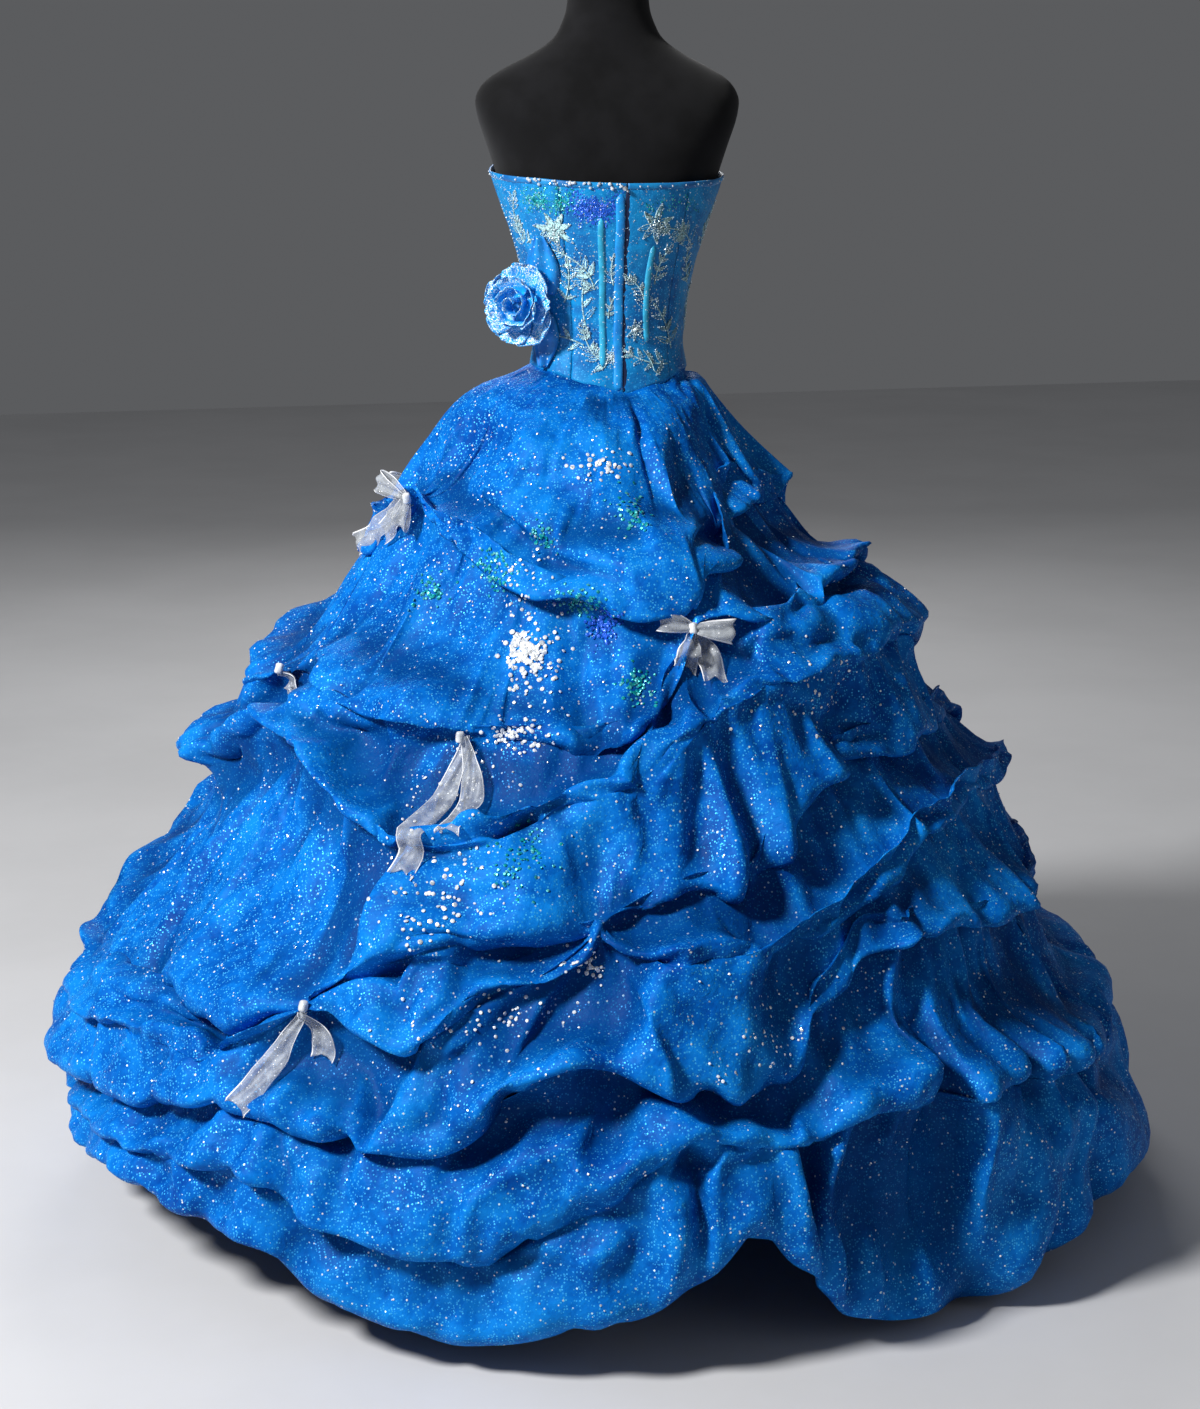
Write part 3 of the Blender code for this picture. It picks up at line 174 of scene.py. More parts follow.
# Single folds: angle and height at the start, middle and end, width, depth (a negative depth
# is a ridge); lengths in millimetres
FOLDS = in_metres((
    (74, 1040, 38, 992, 6, 900, 17, 19), (80, 1066, 34, 1030, 0, 930, 16, 15),
    (72, 1020, 42, 985, 12, 915, 14, 11), (60, 1088, 30, 1062, 8, 1000, 13, 6),
    (-66, 1000, -24, 985, -3, 925, 16, 17), (-52, 1040, -24, 1010, -2, 950, 14, 13),
    (-68, 1100, -54, 1050, -46, 1008, 14, 9), (-1, 1086, 0, 1040, -3, 975, 10, 14),
    (64, 965, 50, 880, 38, 745, 13, 7), (38, 728, 50, 752, 68, 785, 14, 8),
    (34, 726, 20, 740, 3, 800, 13, 9), (2, 832, 14, 838, 28, 876, 14, 7),
    (10, 770, 22, 800, 40, 850, 16, -6), (80, 718, 68, 634, 50, 490, 13, 13),
    (72, 715, 60, 648, 46, 505, 12, 11), (76, 690, 64, 620, 48, 520, 10, -10),
    (75, 722, 56, 712, 38, 708, 13, 9), (62, 668, 38, 590, 14, 694, 14, 11),
    (66, 640, 36, 556, 10, 650, 14, 9), (52, 574, 33, 518, 9, 618, 14, 11),
    (46, 520, 31, 484, 13, 560, 13, 9), (44, 478, 31, 446, 14, 526, 13, 11),
    (3, 802, 8, 730, 9, 668, 11, 11), (12, 712, 7, 640, -8, 600, 10, 10),
    (15, 517, 19, 457, 23, 370, 12, 11), (13, 513, 11, 436, 9, 354, 12, 11),
    (12, 518, 4, 450, -3, 375, 13, 12), (45, 395, 41, 310, 38, 222, 13, 11),
    (44, 408, 34, 332, 16, 350, 14, 12), (44, 425, 32, 392, 19, 420, 13, 10),
    (46, 392, 48, 305, 44, 220, 12, 10), (11, 345, 19, 262, 31, 185, 15, 12),
    (34, 250, 22, 160, 6, 200, 14, 9), (-26, 520, -22, 350, -25, 60, 22, 24),
    (-14, 330, -12, 190, -13, 60, 14, 18), (7, 310, 6, 230, 8, 120, 14, 18),
    (-1, 300, -1, 240, -3, 160, 13, 18), (-7, 330, -7, 210, -8, 100, 13, 17),
    (-43, 484, -45, 340, -42, 120, 17, 18), (-21, 472, -19, 340, -17, 200, 13, 12),
    (-35, 500, -34, 330, -36, 80, 16, 17), (105, 470, 78, 474, 66, 440, 14, 10),
    (88, 335, 66, 362, 52, 350, 13, 10), (96, 610, 82, 520, 76, 440, 14, 12),
    (90, 660, 74, 560, 66, 460, 14, 12), (-11, 828, -28, 806, -58, 776, 13, 10),
    (-11, 763, -28, 730, -48, 700, 13, 11), (-14, 700, -26, 655, -44, 640, 13, 10),
    (-46, 960, -52, 900, -40, 845, 14, 12), (-30, 945, -36, 900, -26, 850, 13, 10),
    (-62, 940, -66, 880, -60, 800, 13, 10), (118, 900, 128, 830, 134, 748, 15, 10),
    (150, 880, 170, 840, 186, 742, 15, 10), (228, 880, 210, 800, 190, 740, 15, 10),
    (254, 880, 246, 800, 244, 744, 14, 10), (140, 640, 160, 560, 184, 600, 15, 10),
    (196, 600, 214, 540, 238, 600, 15, 10), (130, 460, 120, 340, 116, 250, 15, 11),
    (148, 440, 162, 360, 184, 440, 15, 11), (192, 440, 212, 350, 236, 460, 15, 11),
    (100, 300, 122, 240, 134, 290, 14, 10), (142, 280, 160, 190, 184, 280, 15, 11),
    (192, 280, 212, 200, 236, 300, 15, 11), (246, 320, 252, 200, 250, 70, 15, 11),
    (264, 400, 266, 240, 262, 60, 15, 12),
), (0, 2, 4))

FOLD_DEPTH = 2.2           # how much deeper than its table a fold is cut, before the cloth settles
RIDGE_SHARE = 0.8          # height of the ridge beside a fold against the fold's depth
HANG_SHARE = 0.6           # how much of its hang each swag shows
LEAST_HANG = 0.006
PUFF_LEVEL = 0.82          # where a swag puffs out most, as a share of its height
PUFF_OUT = 0.014           # how far the puff stands off the skirt's envelope
EDGE_IN = 0.032            # how far a swag's low edge turns in, and the hem's
HEM_IN = 0.030
UNEVENNESS = 0.008         # height of the cloth's first ripples
EDGE_HOLD = 0.25           # how firmly the low edges are held over the back
EDGE_HELD_TO = 120.0       # ... up to this angle
EDGE_HELD_FROM = 250.0     # ... and again from this one
ORGANZA_CLOTH = dict(
    quality=5, mass=0.10, tension_stiffness=12.0, compression_stiffness=12.0, shear_stiffness=4.0,
    bending_stiffness=0.5, tension_damping=5.0, compression_damping=5.0, shear_damping=5.0,
    bending_damping=0.5, air_damping=2.0)
CLOTH_CONTACT = dict(
    use_collision=True, distance_min=0.003, use_self_collision=False, collision_quality=2)
BACK_FROM = -80.0          # angles between which the skirt's grid is finer
BACK_TO = 110.0
SETTLE_LIMIT = 0.10        # no point settles further than this from where it was cut
SKIRT_LIFT = 0.012         # no point of the skirt lies lower than this
GATHERED_HANG = 0.004      # cloth that hangs no further than this is picked up there
GATHER_SPOT = 0.022        # radius of the cloth that is sewn down at a gather
WAIST_OFF_FORM = 0.0036    # the skirt's top edge stands this far off the form

# rows of cloth from the tuck to the puff, over the puff, to the low edge and back up
FIRST_TIER_ROWS = (5, 6, 4, 2)
TIER_ROWS = (3, 3, 2, 2)


# ---------------------------------------------------------------- sizes and colours
def length(name, value, description):
    return FloatProperty(name=name, default=value, unit="LENGTH", description=description)


class GownSizes(bpy.types.PropertyGroup):
    back_columns: IntProperty(
        name="Back columns", default=150, min=40, max=300,
        description="Threads of the skirt's grid over the half that shows most")
    front_columns: IntProperty(
        name="Front columns", default=80, min=30, max=300,
        description="Threads of the skirt's grid over the other half")
    spare_cloth: FloatProperty(
        name="Spare cloth", default=0.12, min=0.0, max=0.3, subtype="FACTOR",
        description="Extra cloth in every direction, which settles into folds")
    gather_pull: FloatProperty(
        name="Gather pull", default=0.60, min=0.0, max=0.9, subtype="FACTOR",
        description="How far the cloth round a gather is drawn towards it")
    gather_reach: length("Gather reach", 0.115, "Radius of the cloth that a gather draws in")
    settle_frames: IntProperty(
        name="Settling time", default=12, min=0, max=60,
        description="Frames that the skirt is left to settle")
    binding_height: length("Binding height", 0.0085, "Height of the bodice's bound top edge")
    channel_width: length("Boning channel width", 0.0085, "Width of the two boning channels")
    ribbon_width: length("Bow ribbon width", 0.034, "Width of the organza ribbon of the bows")
    sequin_radius: length("Sequin radius", 0.0026, "Radius of one sequin on the skirt")
    crystal_radius: length("Crystal radius", 0.0021, "Radius of one crystal on the bodice's edge")


def colour(name, value, description):
    return FloatVectorProperty(name=name, default=value, size=3, subtype="COLOR", min=0.0, max=1.0,
                               description=description)


class GownColours(bpy.types.PropertyGroup):
    # painted shade: the navy that the skirt cloth is given in its tucks, standing in for their shadow
    organza_recess_shade: colour("Organza, pockets", (0.000, 0.032, 0.155), "Skirt cloth in its tucks")
    organza_deep: colour("Organza, deep", (0.000, 0.048, 0.280), "Skirt cloth in its folds")
    organza_middle: colour("Organza, middle", (0.001, 0.120, 0.480), "Skirt cloth")
    organza_bright: colour("Organza, bright", (0.004, 0.200, 0.640), "Skirt cloth in the light")
    organza_dust: colour("Organza, dust", (0.060, 0.480, 0.900), "Fine glitter dust on the skirt")
    satin_deep: colour("Satin, deep", (0.000, 0.095, 0.340), "Bodice satin in its creases")
    satin_bright: colour("Satin, bright", (0.002, 0.280, 0.640), "Bodice satin")
    satin_pale: colour("Satin, pale", (0.030, 0.480, 0.780), "Placket and boning channels")
    glitter: colour("Glitter", (0.550, 0.860, 1.000), "Loose glitter on the cloth")
    lace: colour("Lace", (0.330, 0.560, 0.590), "Silver-aqua lace cord and beads")
    sequin_white: colour("Sequins, white", (0.900, 0.950, 1.000), "Iridescent white sequins")
    sequin_teal: colour("Sequins, teal", (0.000, 0.380, 0.400), "Teal sequins")
    sequin_royal: colour("Sequins, royal", (0.000, 0.100, 0.660), "Royal blue sequins")
    ribbon: colour("Bow ribbon", (0.440, 0.470, 0.500), "Sheer organza ribbon")
    ribbon_edge: colour("Bow ribbon edge", (0.840, 0.850, 0.870), "Woven edge of the ribbon")
    form_black: colour("Dress form", (0.0035, 0.0035, 0.004), "Stretched cover of the form")
    stand_black: colour("Stand", (0.016, 0.016, 0.018), "Painted base and pole")
    floor: colour("Floor", (0.620, 0.620, 0.630), "Pale studio floor")


def sizes():
    return bpy.context.scene.gown_sizes


def colours():
    return bpy.context.scene.gown_colours


# ---------------------------------------------------------------- finishes
WHITE_GLINT = (0.92, 0.97, 1.0)


def fill_socket(tree, socket, value):
    """Links a value that comes from a node and stores any other on the socket."""
    if isinstance(value, Amount):
        value = value.socket
    if isinstance(value, bpy.types.NodeSocket):
        tree.links.new(value, socket)
    elif socket.type == "RGBA" and len(value) == 3:
        socket.default_value = (*value, 1.0)
    else:
        socket.default_value = value


def add_node(tree, kind, settings=None, sockets=None):
    """A node of a kind, with its settings first and then what its sockets hold."""
    node = tree.nodes.new(kind)
    for key, value in (settings or {}).items():
        setattr(node, key, value)
    for key, value in (sockets or {}).items():
        fill_socket(tree, node.inputs[key], value)
    return node


def sum_node(operation, swapped=False):
    """The method of Amount that works one sum out with a node."""
    def work(self, other):
        left, right = (other, self) if swapped else (self, other)
        node = self.finish.add("ShaderNodeMath", {"operation": operation}, {0: left, 1: right})
        return Amount(self.finish, node.outputs[0])
    return work


class Amount:
    """A number in a finish.  Sums on it in Python add the nodes that work them out."""

    def __init__(self, finish, socket):
        self.finish = finish
        self.socket = socket

    __add__, __radd__ = sum_node("ADD"), sum_node("ADD", True)
    __sub__, __rsub__ = sum_node("SUBTRACT"), sum_node("SUBTRACT", True)
    __mul__, __rmul__ = sum_node("MULTIPLY"), sum_node("MULTIPLY", True)
    below, most, least = sum_node("LESS_THAN"), sum_node("MAXIMUM"), sum_node("MINIMUM")

    def between(self, low, high):
        """0 below low, 1 above high and a smooth rise between them."""
        return self.finish.amount(
            "ShaderNodeMapRange", "Result", {"interpolation_type": "SMOOTHSTEP"},
            {"Value": self, "From Min": low, "From Max": high})


class Finish:
    """One material in the making: its node tree and its shader."""

    def __init__(self, name, **constants):
        self.material = bpy.data.materials.new(name)
        self.material.use_nodes = True
        self.tree = self.material.node_tree
        self.shader = self.tree.nodes["Principled BSDF"]
        self.set(**constants)

    def add(self, kind, settings=None, sockets=None):
        return add_node(self.tree, kind, settings, sockets)

    def amount(self, kind, output, settings=None, sockets=None):
        return Amount(self, self.add(kind, settings, sockets).outputs[output])

    def set(self, **sockets):
        """What the shader's sockets hold; returns the finished material."""
        for key, value in sockets.items():
            fill_socket(self.tree, self.shader.inputs[key.replace("_", " ")], value)
        return self.material

    def place(self):
        """Object coordinates in metres."""
        return self.add("ShaderNodeTexCoord").outputs["Object"]

    def painted(self, name):
        """The number of that name which the piece holds for each of its points."""
        return self.amount("ShaderNodeAttribute", "Fac", {"attribute_name": name})

    def cloud(self, place, scale, detail=2.0, roughness=0.5, distortion=0.0):
        return self.amount("ShaderNodeTexNoise", "Fac", None, {
            "Vector": place, "Scale": scale, "Detail": detail, "Roughness": roughness,
            "Distortion": distortion})

    def wave(self, place, direction, scale, distortion):
        return self.amount("ShaderNodeTexWave", "Fac", {"bands_direction": direction},
                           {"Vector": place, "Scale": scale, "Distortion": distortion})

    def mix(self, factor, first, second):
        node = self.add("ShaderNodeMix", {"data_type": "RGBA"}, {0: factor, 6: first, 7: second})
        return node.outputs[2]

    def ramp(self, factor, *tints):
        """Colours spread evenly from 0 to 1."""
        node = self.add("ShaderNodeValToRGB", None, {"Fac": factor})
        stops = node.color_ramp.elements
        while len(stops) < len(tints):
            stops.new(0.5)
        for i, tint in enumerate(tints):
            stops[i].position = i / (len(tints) - 1)
            stops[i].color = (*tint, 1.0)
        return node.outputs["Color"]

    def cells(self, place, scale):
        """Small random cells, and two random amounts for each of them."""
        cells = self.add("ShaderNodeTexVoronoi", None, {"Vector": place, "Scale": scale})
        parts = self.add("ShaderNodeSeparateColor", None, {"Color": cells.outputs["Color"]})
        return cells.outputs, Amount(self, parts.outputs[0]), Amount(self, parts.outputs[1])

    def specks(self, place, cell, share, size):
        """Loose specks of glitter: a mask, a random colour and a random tone for each speck."""
        cells, chance, tone = self.cells(place, 1.0 / cell)
        near = Amount(self, cells["Distance"]).below(size)
        return chance.below(share) * near, cells["Color"], tone

    def bump(self, height, strength, distance):
        return self.add("ShaderNodeBump", None, {
            "Height": height, "Strength": strength, "Distance": distance}).outputs["Normal"]

    def tilt(self, normal, random_colour, mask, amount):
        """Turns the surface a random way wherever the mask shows."""
        def work(operation, sockets):
            return self.add("ShaderNodeVectorMath", {"operation": operation}, sockets).outputs[0]

        off = work("SUBTRACT", {0: random_colour, 1: (0.5, 0.5, 0.5)})
        turn = work("SCALE", {0: off, "Scale": mask * amount})
        return work("NORMALIZE", {0: work("ADD", {0: normal, 1: turn})})


FINISHES = {}


def finish(name, maker, *words):
    """The material of that name, made the first time that it is asked for."""
    if name not in FINISHES:
        FINISHES[name] = maker(name, *words)
    return FINISHES[name]


def shaded(tint, share, pale=0.0):
    """A colour scaled by a share, with some white added."""
    return tuple(share * x + pale for x in tint)


def glittered(f, place, base, normal, layers, glitter, show=1.0):
    """Lays layers of specks (cell, share, size, tilt) over a base colour, as far as they show."""
    shine = None
    for cell, share, size, turn in layers:
        mask, tint, tone = f.specks(place, cell, share, size)
        mask = mask * show
        base = f.mix(mask, base, f.mix(tone, glitter, WHITE_GLINT))
        normal = f.tilt(normal, tint, mask, turn)
        shine = mask if shine is None else shine.most(mask)
    return base, normal, shine


def organza_finish(name):
    """Sheer glitter organza over taffeta: an even azure full of fine and coarse specks, with painted
    shade in the tucks.
    """
    tint = colours()
    f = Finish(name, IOR=1.35, Specular_IOR_Level=0.08)
    place = f.place()
    clouds = f.cloud(place, 4.5, 2.0)
    veil = f.cloud(place, 17.0, 4.0, 0.6, 0.5)
    crush = f.cloud(place, 52.0, 4.0, 0.62, 0.3)
    fine = f.cloud(place, 150.0, 3.0, 0.6)
    tone = clouds * 0.30 + veil * 0.40 + crush * 0.30
    # painted shade: behind the puffs the cloth turns navy, and its dust and glitter show less there
    shade = f.painted("recess").between(0.012, 0.075)
    base = f.ramp(tone.between(0.34, 0.66),
                  tint.organza_deep, tint.organza_middle, tint.organza_bright)
    base = f.mix(shade * 0.80, base, tint.organza_recess_shade)
    dust, dust_tint, dust_tone = f.specks(place, 0.0030, 0.50, 0.36)
    base = f.mix(dust * (0.35 + dust_tone * 0.65) * (1.0 - shade * 0.75), base, tint.organza_dust)
    height = crush * 0.7 + fine * 0.25 + veil * 0.5
    normal = f.tilt(f.bump(height, 0.45, 0.006), dust_tint, dust, 0.5)
    layers = ((0.0052, 0.11, 0.24, 0.8), (0.0110, 0.06, 0.14, 0.7))
    base, normal, shine = glittered(f, place, base, normal, layers, tint.glitter,
                                    1.0 - shade * 0.65)
    return f.set(Base_Color=base, Normal=normal, Roughness=0.50 - dust * 0.16 - shine * 0.16,
                 Metallic=dust * 0.15 + shine * 0.20)


def satin_finish(name):
    """Crushed bodice satin with dust and glitter on it."""
    tint = colours()
    f = Finish(name, IOR=1.5, Specular_IOR_Level=0.3)
    place = f.place()
    clouds = f.cloud(place, 16.0, 3.0, 0.6, 0.5)
    crush = f.cloud(place, 60.0, 3.0, 0.55, 0.8)
    base = f.ramp((clouds * 0.6 + crush * 0.4).between(0.30, 0.70),
                  tint.satin_deep, tint.satin_bright)
    normal = f.bump(crush * 0.6 + f.cloud(place, 420.0, 2.0) * 0.4, 0.35, 0.0016)
    dust, _, dust_tone = f.specks(place, 0.0022, 0.50, 0.38)
    base = f.mix(dust * dust_tone * 0.8, base, tint.organza_dust)
    layers = ((0.0026, 0.16, 0.32, 0.9), (0.0048, 0.07, 0.26, 0.8))
    base, normal, shine = glittered(f, place, base, normal, layers, tint.glitter)
    return f.set(Base_Color=base, Normal=normal, Roughness=0.42 - shine * 0.22,
                 Metallic=shine * 0.35)


def plain_satin_finish(name, light, dark, roughness=0.36):
    """Smooth satin with a fine slanting weave."""
    f = Finish(name, IOR=1.5, Sheen_Weight=0.3, Sheen_Roughness=0.3)
    place = f.place()
    clouds = f.cloud(place, 45.0, 3.0, 0.6)
    weave = f.wave(place, "DIAGONAL", 520.0, 1.0)
    mask, _, _ = f.specks(place, 0.0022, 0.10, 0.34)
    base = f.mix(mask, f.ramp(clouds.between(0.25, 0.75), dark, light), (0.75, 0.92, 1.0))
    return f.set(Base_Color=base, Roughness=roughness + clouds * 0.12,
                 Normal=f.bump(weave * 0.3 + clouds, 0.25, 0.0008))


def petal_finish(name):
    """Rosette satin: azure at the root and crusted with white glitter at the edge."""
    tint = colours()
    f = Finish(name, IOR=1.5)
    place = f.place()
    clouds = f.cloud(place, 70.0, 4.0, 0.6, 0.4)
    base = f.ramp(clouds.between(0.3, 0.7), (0.002, 0.200, 0.600), (0.010, 0.400, 0.860))
    crust = (f.painted("rim") + clouds * 0.7 - 0.35).between(0.40, 0.85)
    mask, speck_tint, tone = f.specks(place, 0.0019, 0.85, 0.50)
    crusted = mask * crust
    base = f.mix(crusted, base, f.mix(tone, tint.glitter, (1.0, 1.0, 1.0)))
    few, _, _ = f.specks(place, 0.0020, 0.16, 0.40)
    base = f.mix(few, base, tint.glitter)
    normal = f.tilt(f.bump(clouds, 0.3, 0.002), speck_tint, crusted, 0.8)
    return f.set(Base_Color=base, Normal=normal, Roughness=0.40 - crusted * 0.2,
                 Metallic=crusted * 0.15)


def bead_finish(name, base, roughness=0.16, metallic=0.55, pale=0.55):
    """Cut glass, pearl or sequin: every few millimetres another tone of one colour."""
    f = Finish(name, IOR=1.55)
    _, tone, _ = f.cells(f.place(), 260.0)
    return f.set(Base_Color=f.ramp(tone, shaded(base, 0.55), base, shaded(base, 1.0 - pale, pale)),
                 Roughness=roughness + tone * 0.12, Metallic=metallic)


def cord_finish(name, base):
    """Embroidery cord: twisted thread with a dull metallic shine."""
    f = Finish(name, IOR=1.5, Metallic=0.35)
    place = f.place()
    twist = f.wave(place, "DIAGONAL", 900.0, 2.0)
    tone = f.cloud(place, 240.0, 3.0)
    return f.set(
        Base_Color=f.ramp(tone.between(0.3, 0.7), shaded(base, 0.45), shaded(base, 1.35, 0.05)),
        Roughness=0.38 + tone * 0.2, Normal=f.bump(twist, 0.5, 0.0006))


def ribbon_finish(name):
    """Sheer organza ribbon: see-through with a fine mesh, denser creases and a woven edge."""
    tint = colours()
    f = Finish(name, IOR=1.45, Sheen_Weight=0.4)
    place = f.place()
    crush = f.cloud(place, 55.0, 4.0, 0.6, 0.8)
    mesh = f.cloud(place, 700.0, 1.0)
    edge = f.painted("rim").between(0.89, 0.94)
    mask, _, _ = f.specks(place, 0.0030, 0.10, 0.30)
    base = f.ramp(crush.between(0.3, 0.7), shaded(tint.ribbon, 0.75), shaded(tint.ribbon, 1.25))
    base = f.mix(edge.most(mask), base, tint.ribbon_edge)
    solid = 0.10 + crush * 0.42 + mesh * 0.08 + mask * 0.5
    return f.set(Base_Color=base, Roughness=0.34 + crush * 0.2,
                 Alpha=solid.most(edge * 0.92).least(1.0),
                 Normal=f.bump(crush + mesh * 0.2, 0.5, 0.0022))


def knit_finish(name, base):
    """Matte stretched cover with a fine knit."""
    f = Finish(name, IOR=1.3, Sheen_Weight=0.08, Sheen_Roughness=0.5, Specular_IOR_Level=0.25)
    place = f.place()
    ribs = f.wave(place, "Z", 420.0, 1.5)
    clouds = f.cloud(place, 22.0, 3.0)
    return f.set(Base_Color=f.ramp(clouds.between(0.3, 0.7), base, shaded(base, 2.1)),
                 Roughness=0.82 + clouds * 0.12, Normal=f.bump(ribs * 0.6 + clouds, 0.25, 0.0006))


def painted_finish(name, base):
    """Black paint, a little worn."""
    f = Finish(name, Coat_Weight=0.15)
    place = f.place()
    peel = f.cloud(place, 260.0, 2.0)
    wear = f.cloud(place, 18.0, 5.0, 0.65)
    return f.set(Base_Color=f.ramp(wear.between(0.3, 0.75), base, shaded(base, 2.4)),
                 Roughness=0.32 + wear * 0.2, Metallic=0.3, Normal=f.bump(peel, 0.15, 0.0005))


def floor_finish(name, base):
    f = Finish(name)
    place = f.place()
    clouds = f.cloud(place, 1.4, 5.0, 0.6)
    grain = f.cloud(place, 60.0, 3.0)
    return f.set(Base_Color=f.ramp(clouds.between(0.3, 0.7), shaded(base, 0.93), base),
                 Roughness=0.62 + grain * 0.15, Normal=f.bump(grain, 0.1, 0.001))


# ---------------------------------------------------------------- shape helpers
def around(theta, radius, z):
    """The place at an angle, a distance from the axis and a height."""
    a = math.radians(theta)
    return Vector((radius * math.sin(a), radius * math.cos(a), z))


def cos_sin(degrees):
    a = math.radians(degrees)
    return math.cos(a), math.sin(a)


def circle(sides):
    """Cosine and sine at equal steps round a circle."""
    angles = [2.0 * math.pi * j / sides for j in range(sides)]
    return [(math.cos(a), math.sin(a)) for a in angles]


def round_points(theta, radius, height):
    """The same as around() for arrays."""
    return np.stack([radius * np.sin(np.radians(theta)), radius * np.cos(np.radians(theta)),
                     height], -1)


def smooth_rows(rows, reach):
    """A table resampled every 2 mm with its corners eased over a reach in metres."""
    step = 0.002
    table = np.array(sorted(rows))
    heights = np.arange(table[0, 0], table[-1, 0] + step, step)
    count = max(1, int(reach / step))
    weights = np.hanning(2 * count + 3)[1:-1]
    weights /= weights.sum()
    out = [heights]
    for column in range(1, table.shape[1]):
        values = np.interp(heights, table[:, 0], table[:, column])
        padded = np.pad(values, len(weights) // 2, mode="reflect", reflect_type="odd")
        out.append(np.convolve(padded, weights, mode="valid"))
    return np.array(out)


FORM_SMOOTH = smooth_rows(FORM, 0.016)


def form_radius(theta, z):
    """Distance from the axis to the form's skin at an angle and height, numbers or arrays."""
    half, back, front, square = (np.interp(z, FORM_SMOOTH[0], FORM_SMOOTH[i]) for i in (1, 2, 3, 4))
    a = np.radians(theta)
    depth = np.where(np.cos(a) > 0.0, back, front)
    s = np.abs(np.sin(a)) / half
    c = np.abs(np.cos(a)) / depth
    return (s ** square + c ** square) ** (-1.0 / square)


def ring_value(rows, theta, column):
    """Column of a round-the-gown table at angles, eased between its rows."""
    table = np.array(sorted((row[0] % 360.0, *row[1:]) for row in rows))
    turn = np.zeros(table.shape[1])
    turn[0] = 360.0
    table = np.vstack([table[-1] - turn, table, table[0] + turn])
    t = np.mod(theta, 360.0)
    i = np.clip(np.searchsorted(table[:, 0], t, side="right") - 1, 0, len(table) - 2)
    f = (t - table[i, 0]) / (table[i + 1, 0] - table[i, 0])
    f = 0.5 * f + 0.5 * f * f * (3.0 - 2.0 * f)
    return table[i, column] * (1.0 - f) + table[i + 1, column] * f


def link(name, data):
    """A new object in the scene."""
    ob = bpy.data.objects.new(name, data)
    bpy.context.scene.collection.objects.link(ob)
    return ob


def new_piece(name, verts, faces, material, closed=False):
    """A smooth piece; a closed one has its faces turned outwards."""
    mesh = bpy.data.meshes.new(name)
    mesh.from_pydata([tuple(v) for v in verts], [], [tuple(f) for f in faces])
    if closed:
        body = bmesh.new()
        body.from_mesh(mesh)
        bmesh.ops.recalc_face_normals(body, faces=body.faces)
        body.to_mesh(mesh)
        body.free()
    mesh.update()
    mesh.shade_smooth()
    mesh.materials.append(material)
    return link(name, mesh)


def own(ob, replaced):
    """Rides a finished piece on the body and hides the nodes that it stands for."""
    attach(ob, BODY)
    if replaced:
        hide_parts(*replaced)
    return ob


def add_modifier(ob, kind, **settings):
    modifier = ob.modifiers.new(kind.title(), kind)
    for key, value in settings.items():
        setattr(modifier, key, value)
    return modifier


def evaluated(ob):
    """The object with its modifiers applied."""
    return ob.evaluated_get(bpy.context.evaluated_depsgraph_get())


def points_of(mesh):
    """The places of a mesh's points, one row each."""
    places = np.zeros(len(mesh.vertices) * 3)
    mesh.vertices.foreach_get("co", places)
    return places.reshape(-1, 3)


def flatten(ob):
    """Turns the evaluated object into its plain mesh and drops its modifiers."""
    mesh = bpy.data.meshes.new_from_object(evaluated(ob))
    old = ob.data
    ob.modifiers.clear()
    ob.data = mesh
    bpy.data.meshes.remove(old)
    return ob


def grid_faces(rows, cols, closed=False):
    """Quads of a grid whose rows run down and whose columns run along +angle, facing outwards."""
    faces = []
    for i in range(rows - 1):
        for j in range(cols if closed else cols - 1):
            k = (j + 1) % cols
            faces.append((i * cols + j, (i + 1) * cols + j, (i + 1) * cols + k, i * cols + k))
    return faces


def tube_faces(rings, sides):
    """Quads of a tube of rings of points, and a cap at each end."""
    faces = grid_faces(rings, sides, closed=True)
    faces.append(tuple(range(sides)))
    faces.append(tuple((rings - 1) * sides + j for j in reversed(range(sides))))
    return faces


def paint_points(ob, name, values):
    """Stores one number for each point of a piece."""
    layer = ob.data.attributes.new(name, "FLOAT", "POINT")
    layer.data.foreach_set("value", np.asarray(values, dtype=np.float32))


def mesh_area(ob):
    return sum(p.area for p in evaluated(ob).data.polygons)


def cord_along(path, radius, sides=6):
    """Points and faces of a closed round cord along a path."""
    verts = []
    faces = []
    count = len(path)
    for i, p in enumerate(path):
        way = (path[min(i + 1, count - 1)] - path[max(i - 1, 0)]).normalized()
        out = Vector((p.x, p.y, 0.0))
        out = (out - way * out.dot(way)).normalized()
        side = way.cross(out)
        verts += [p + side * (radius * c) + out * (radius * s) for c, s in circle(sides)]
    for i in range(count - 1):
        for j in range(sides):
            k = (j + 1) % sides
            faces.append((i * sides + j, i * sides + k, (i + 1) * sides + k, (i + 1) * sides + j))
    faces.append(tuple(reversed(range(sides))))
    faces.append(tuple((count - 1) * sides + j for j in range(sides)))
    return verts, faces


def thin_piece(name, verts, rim, cols, cloth, thickness, outward=None):
    """A sheet on rows of cols + 1 points, with its rim noted for the finish.

    outward, when given, says which way its middle has to face.
    """
    rows = len(verts) // (cols + 1) - 1
    piece = new_piece(name, verts, grid_faces(rows + 1, cols + 1), cloth)
    middle = piece.data.polygons[(rows // 2) * cols + cols // 2]
    if outward and middle.normal.dot(outward(middle)) < 0.0:
        piece.data.flip_normals()
    paint_points(piece, "rim", rim)
    add_modifier(piece, "SOLIDIFY", thickness=thickness, offset=0.0)
    return piece


def join_parts(parts):
    """One list of points and faces from several."""
    verts = []
    faces = []
    for points, quads in parts:
        base = len(verts)
        verts += points
        faces += [tuple(base + i for i in quad) for quad in quads]
    return verts, faces


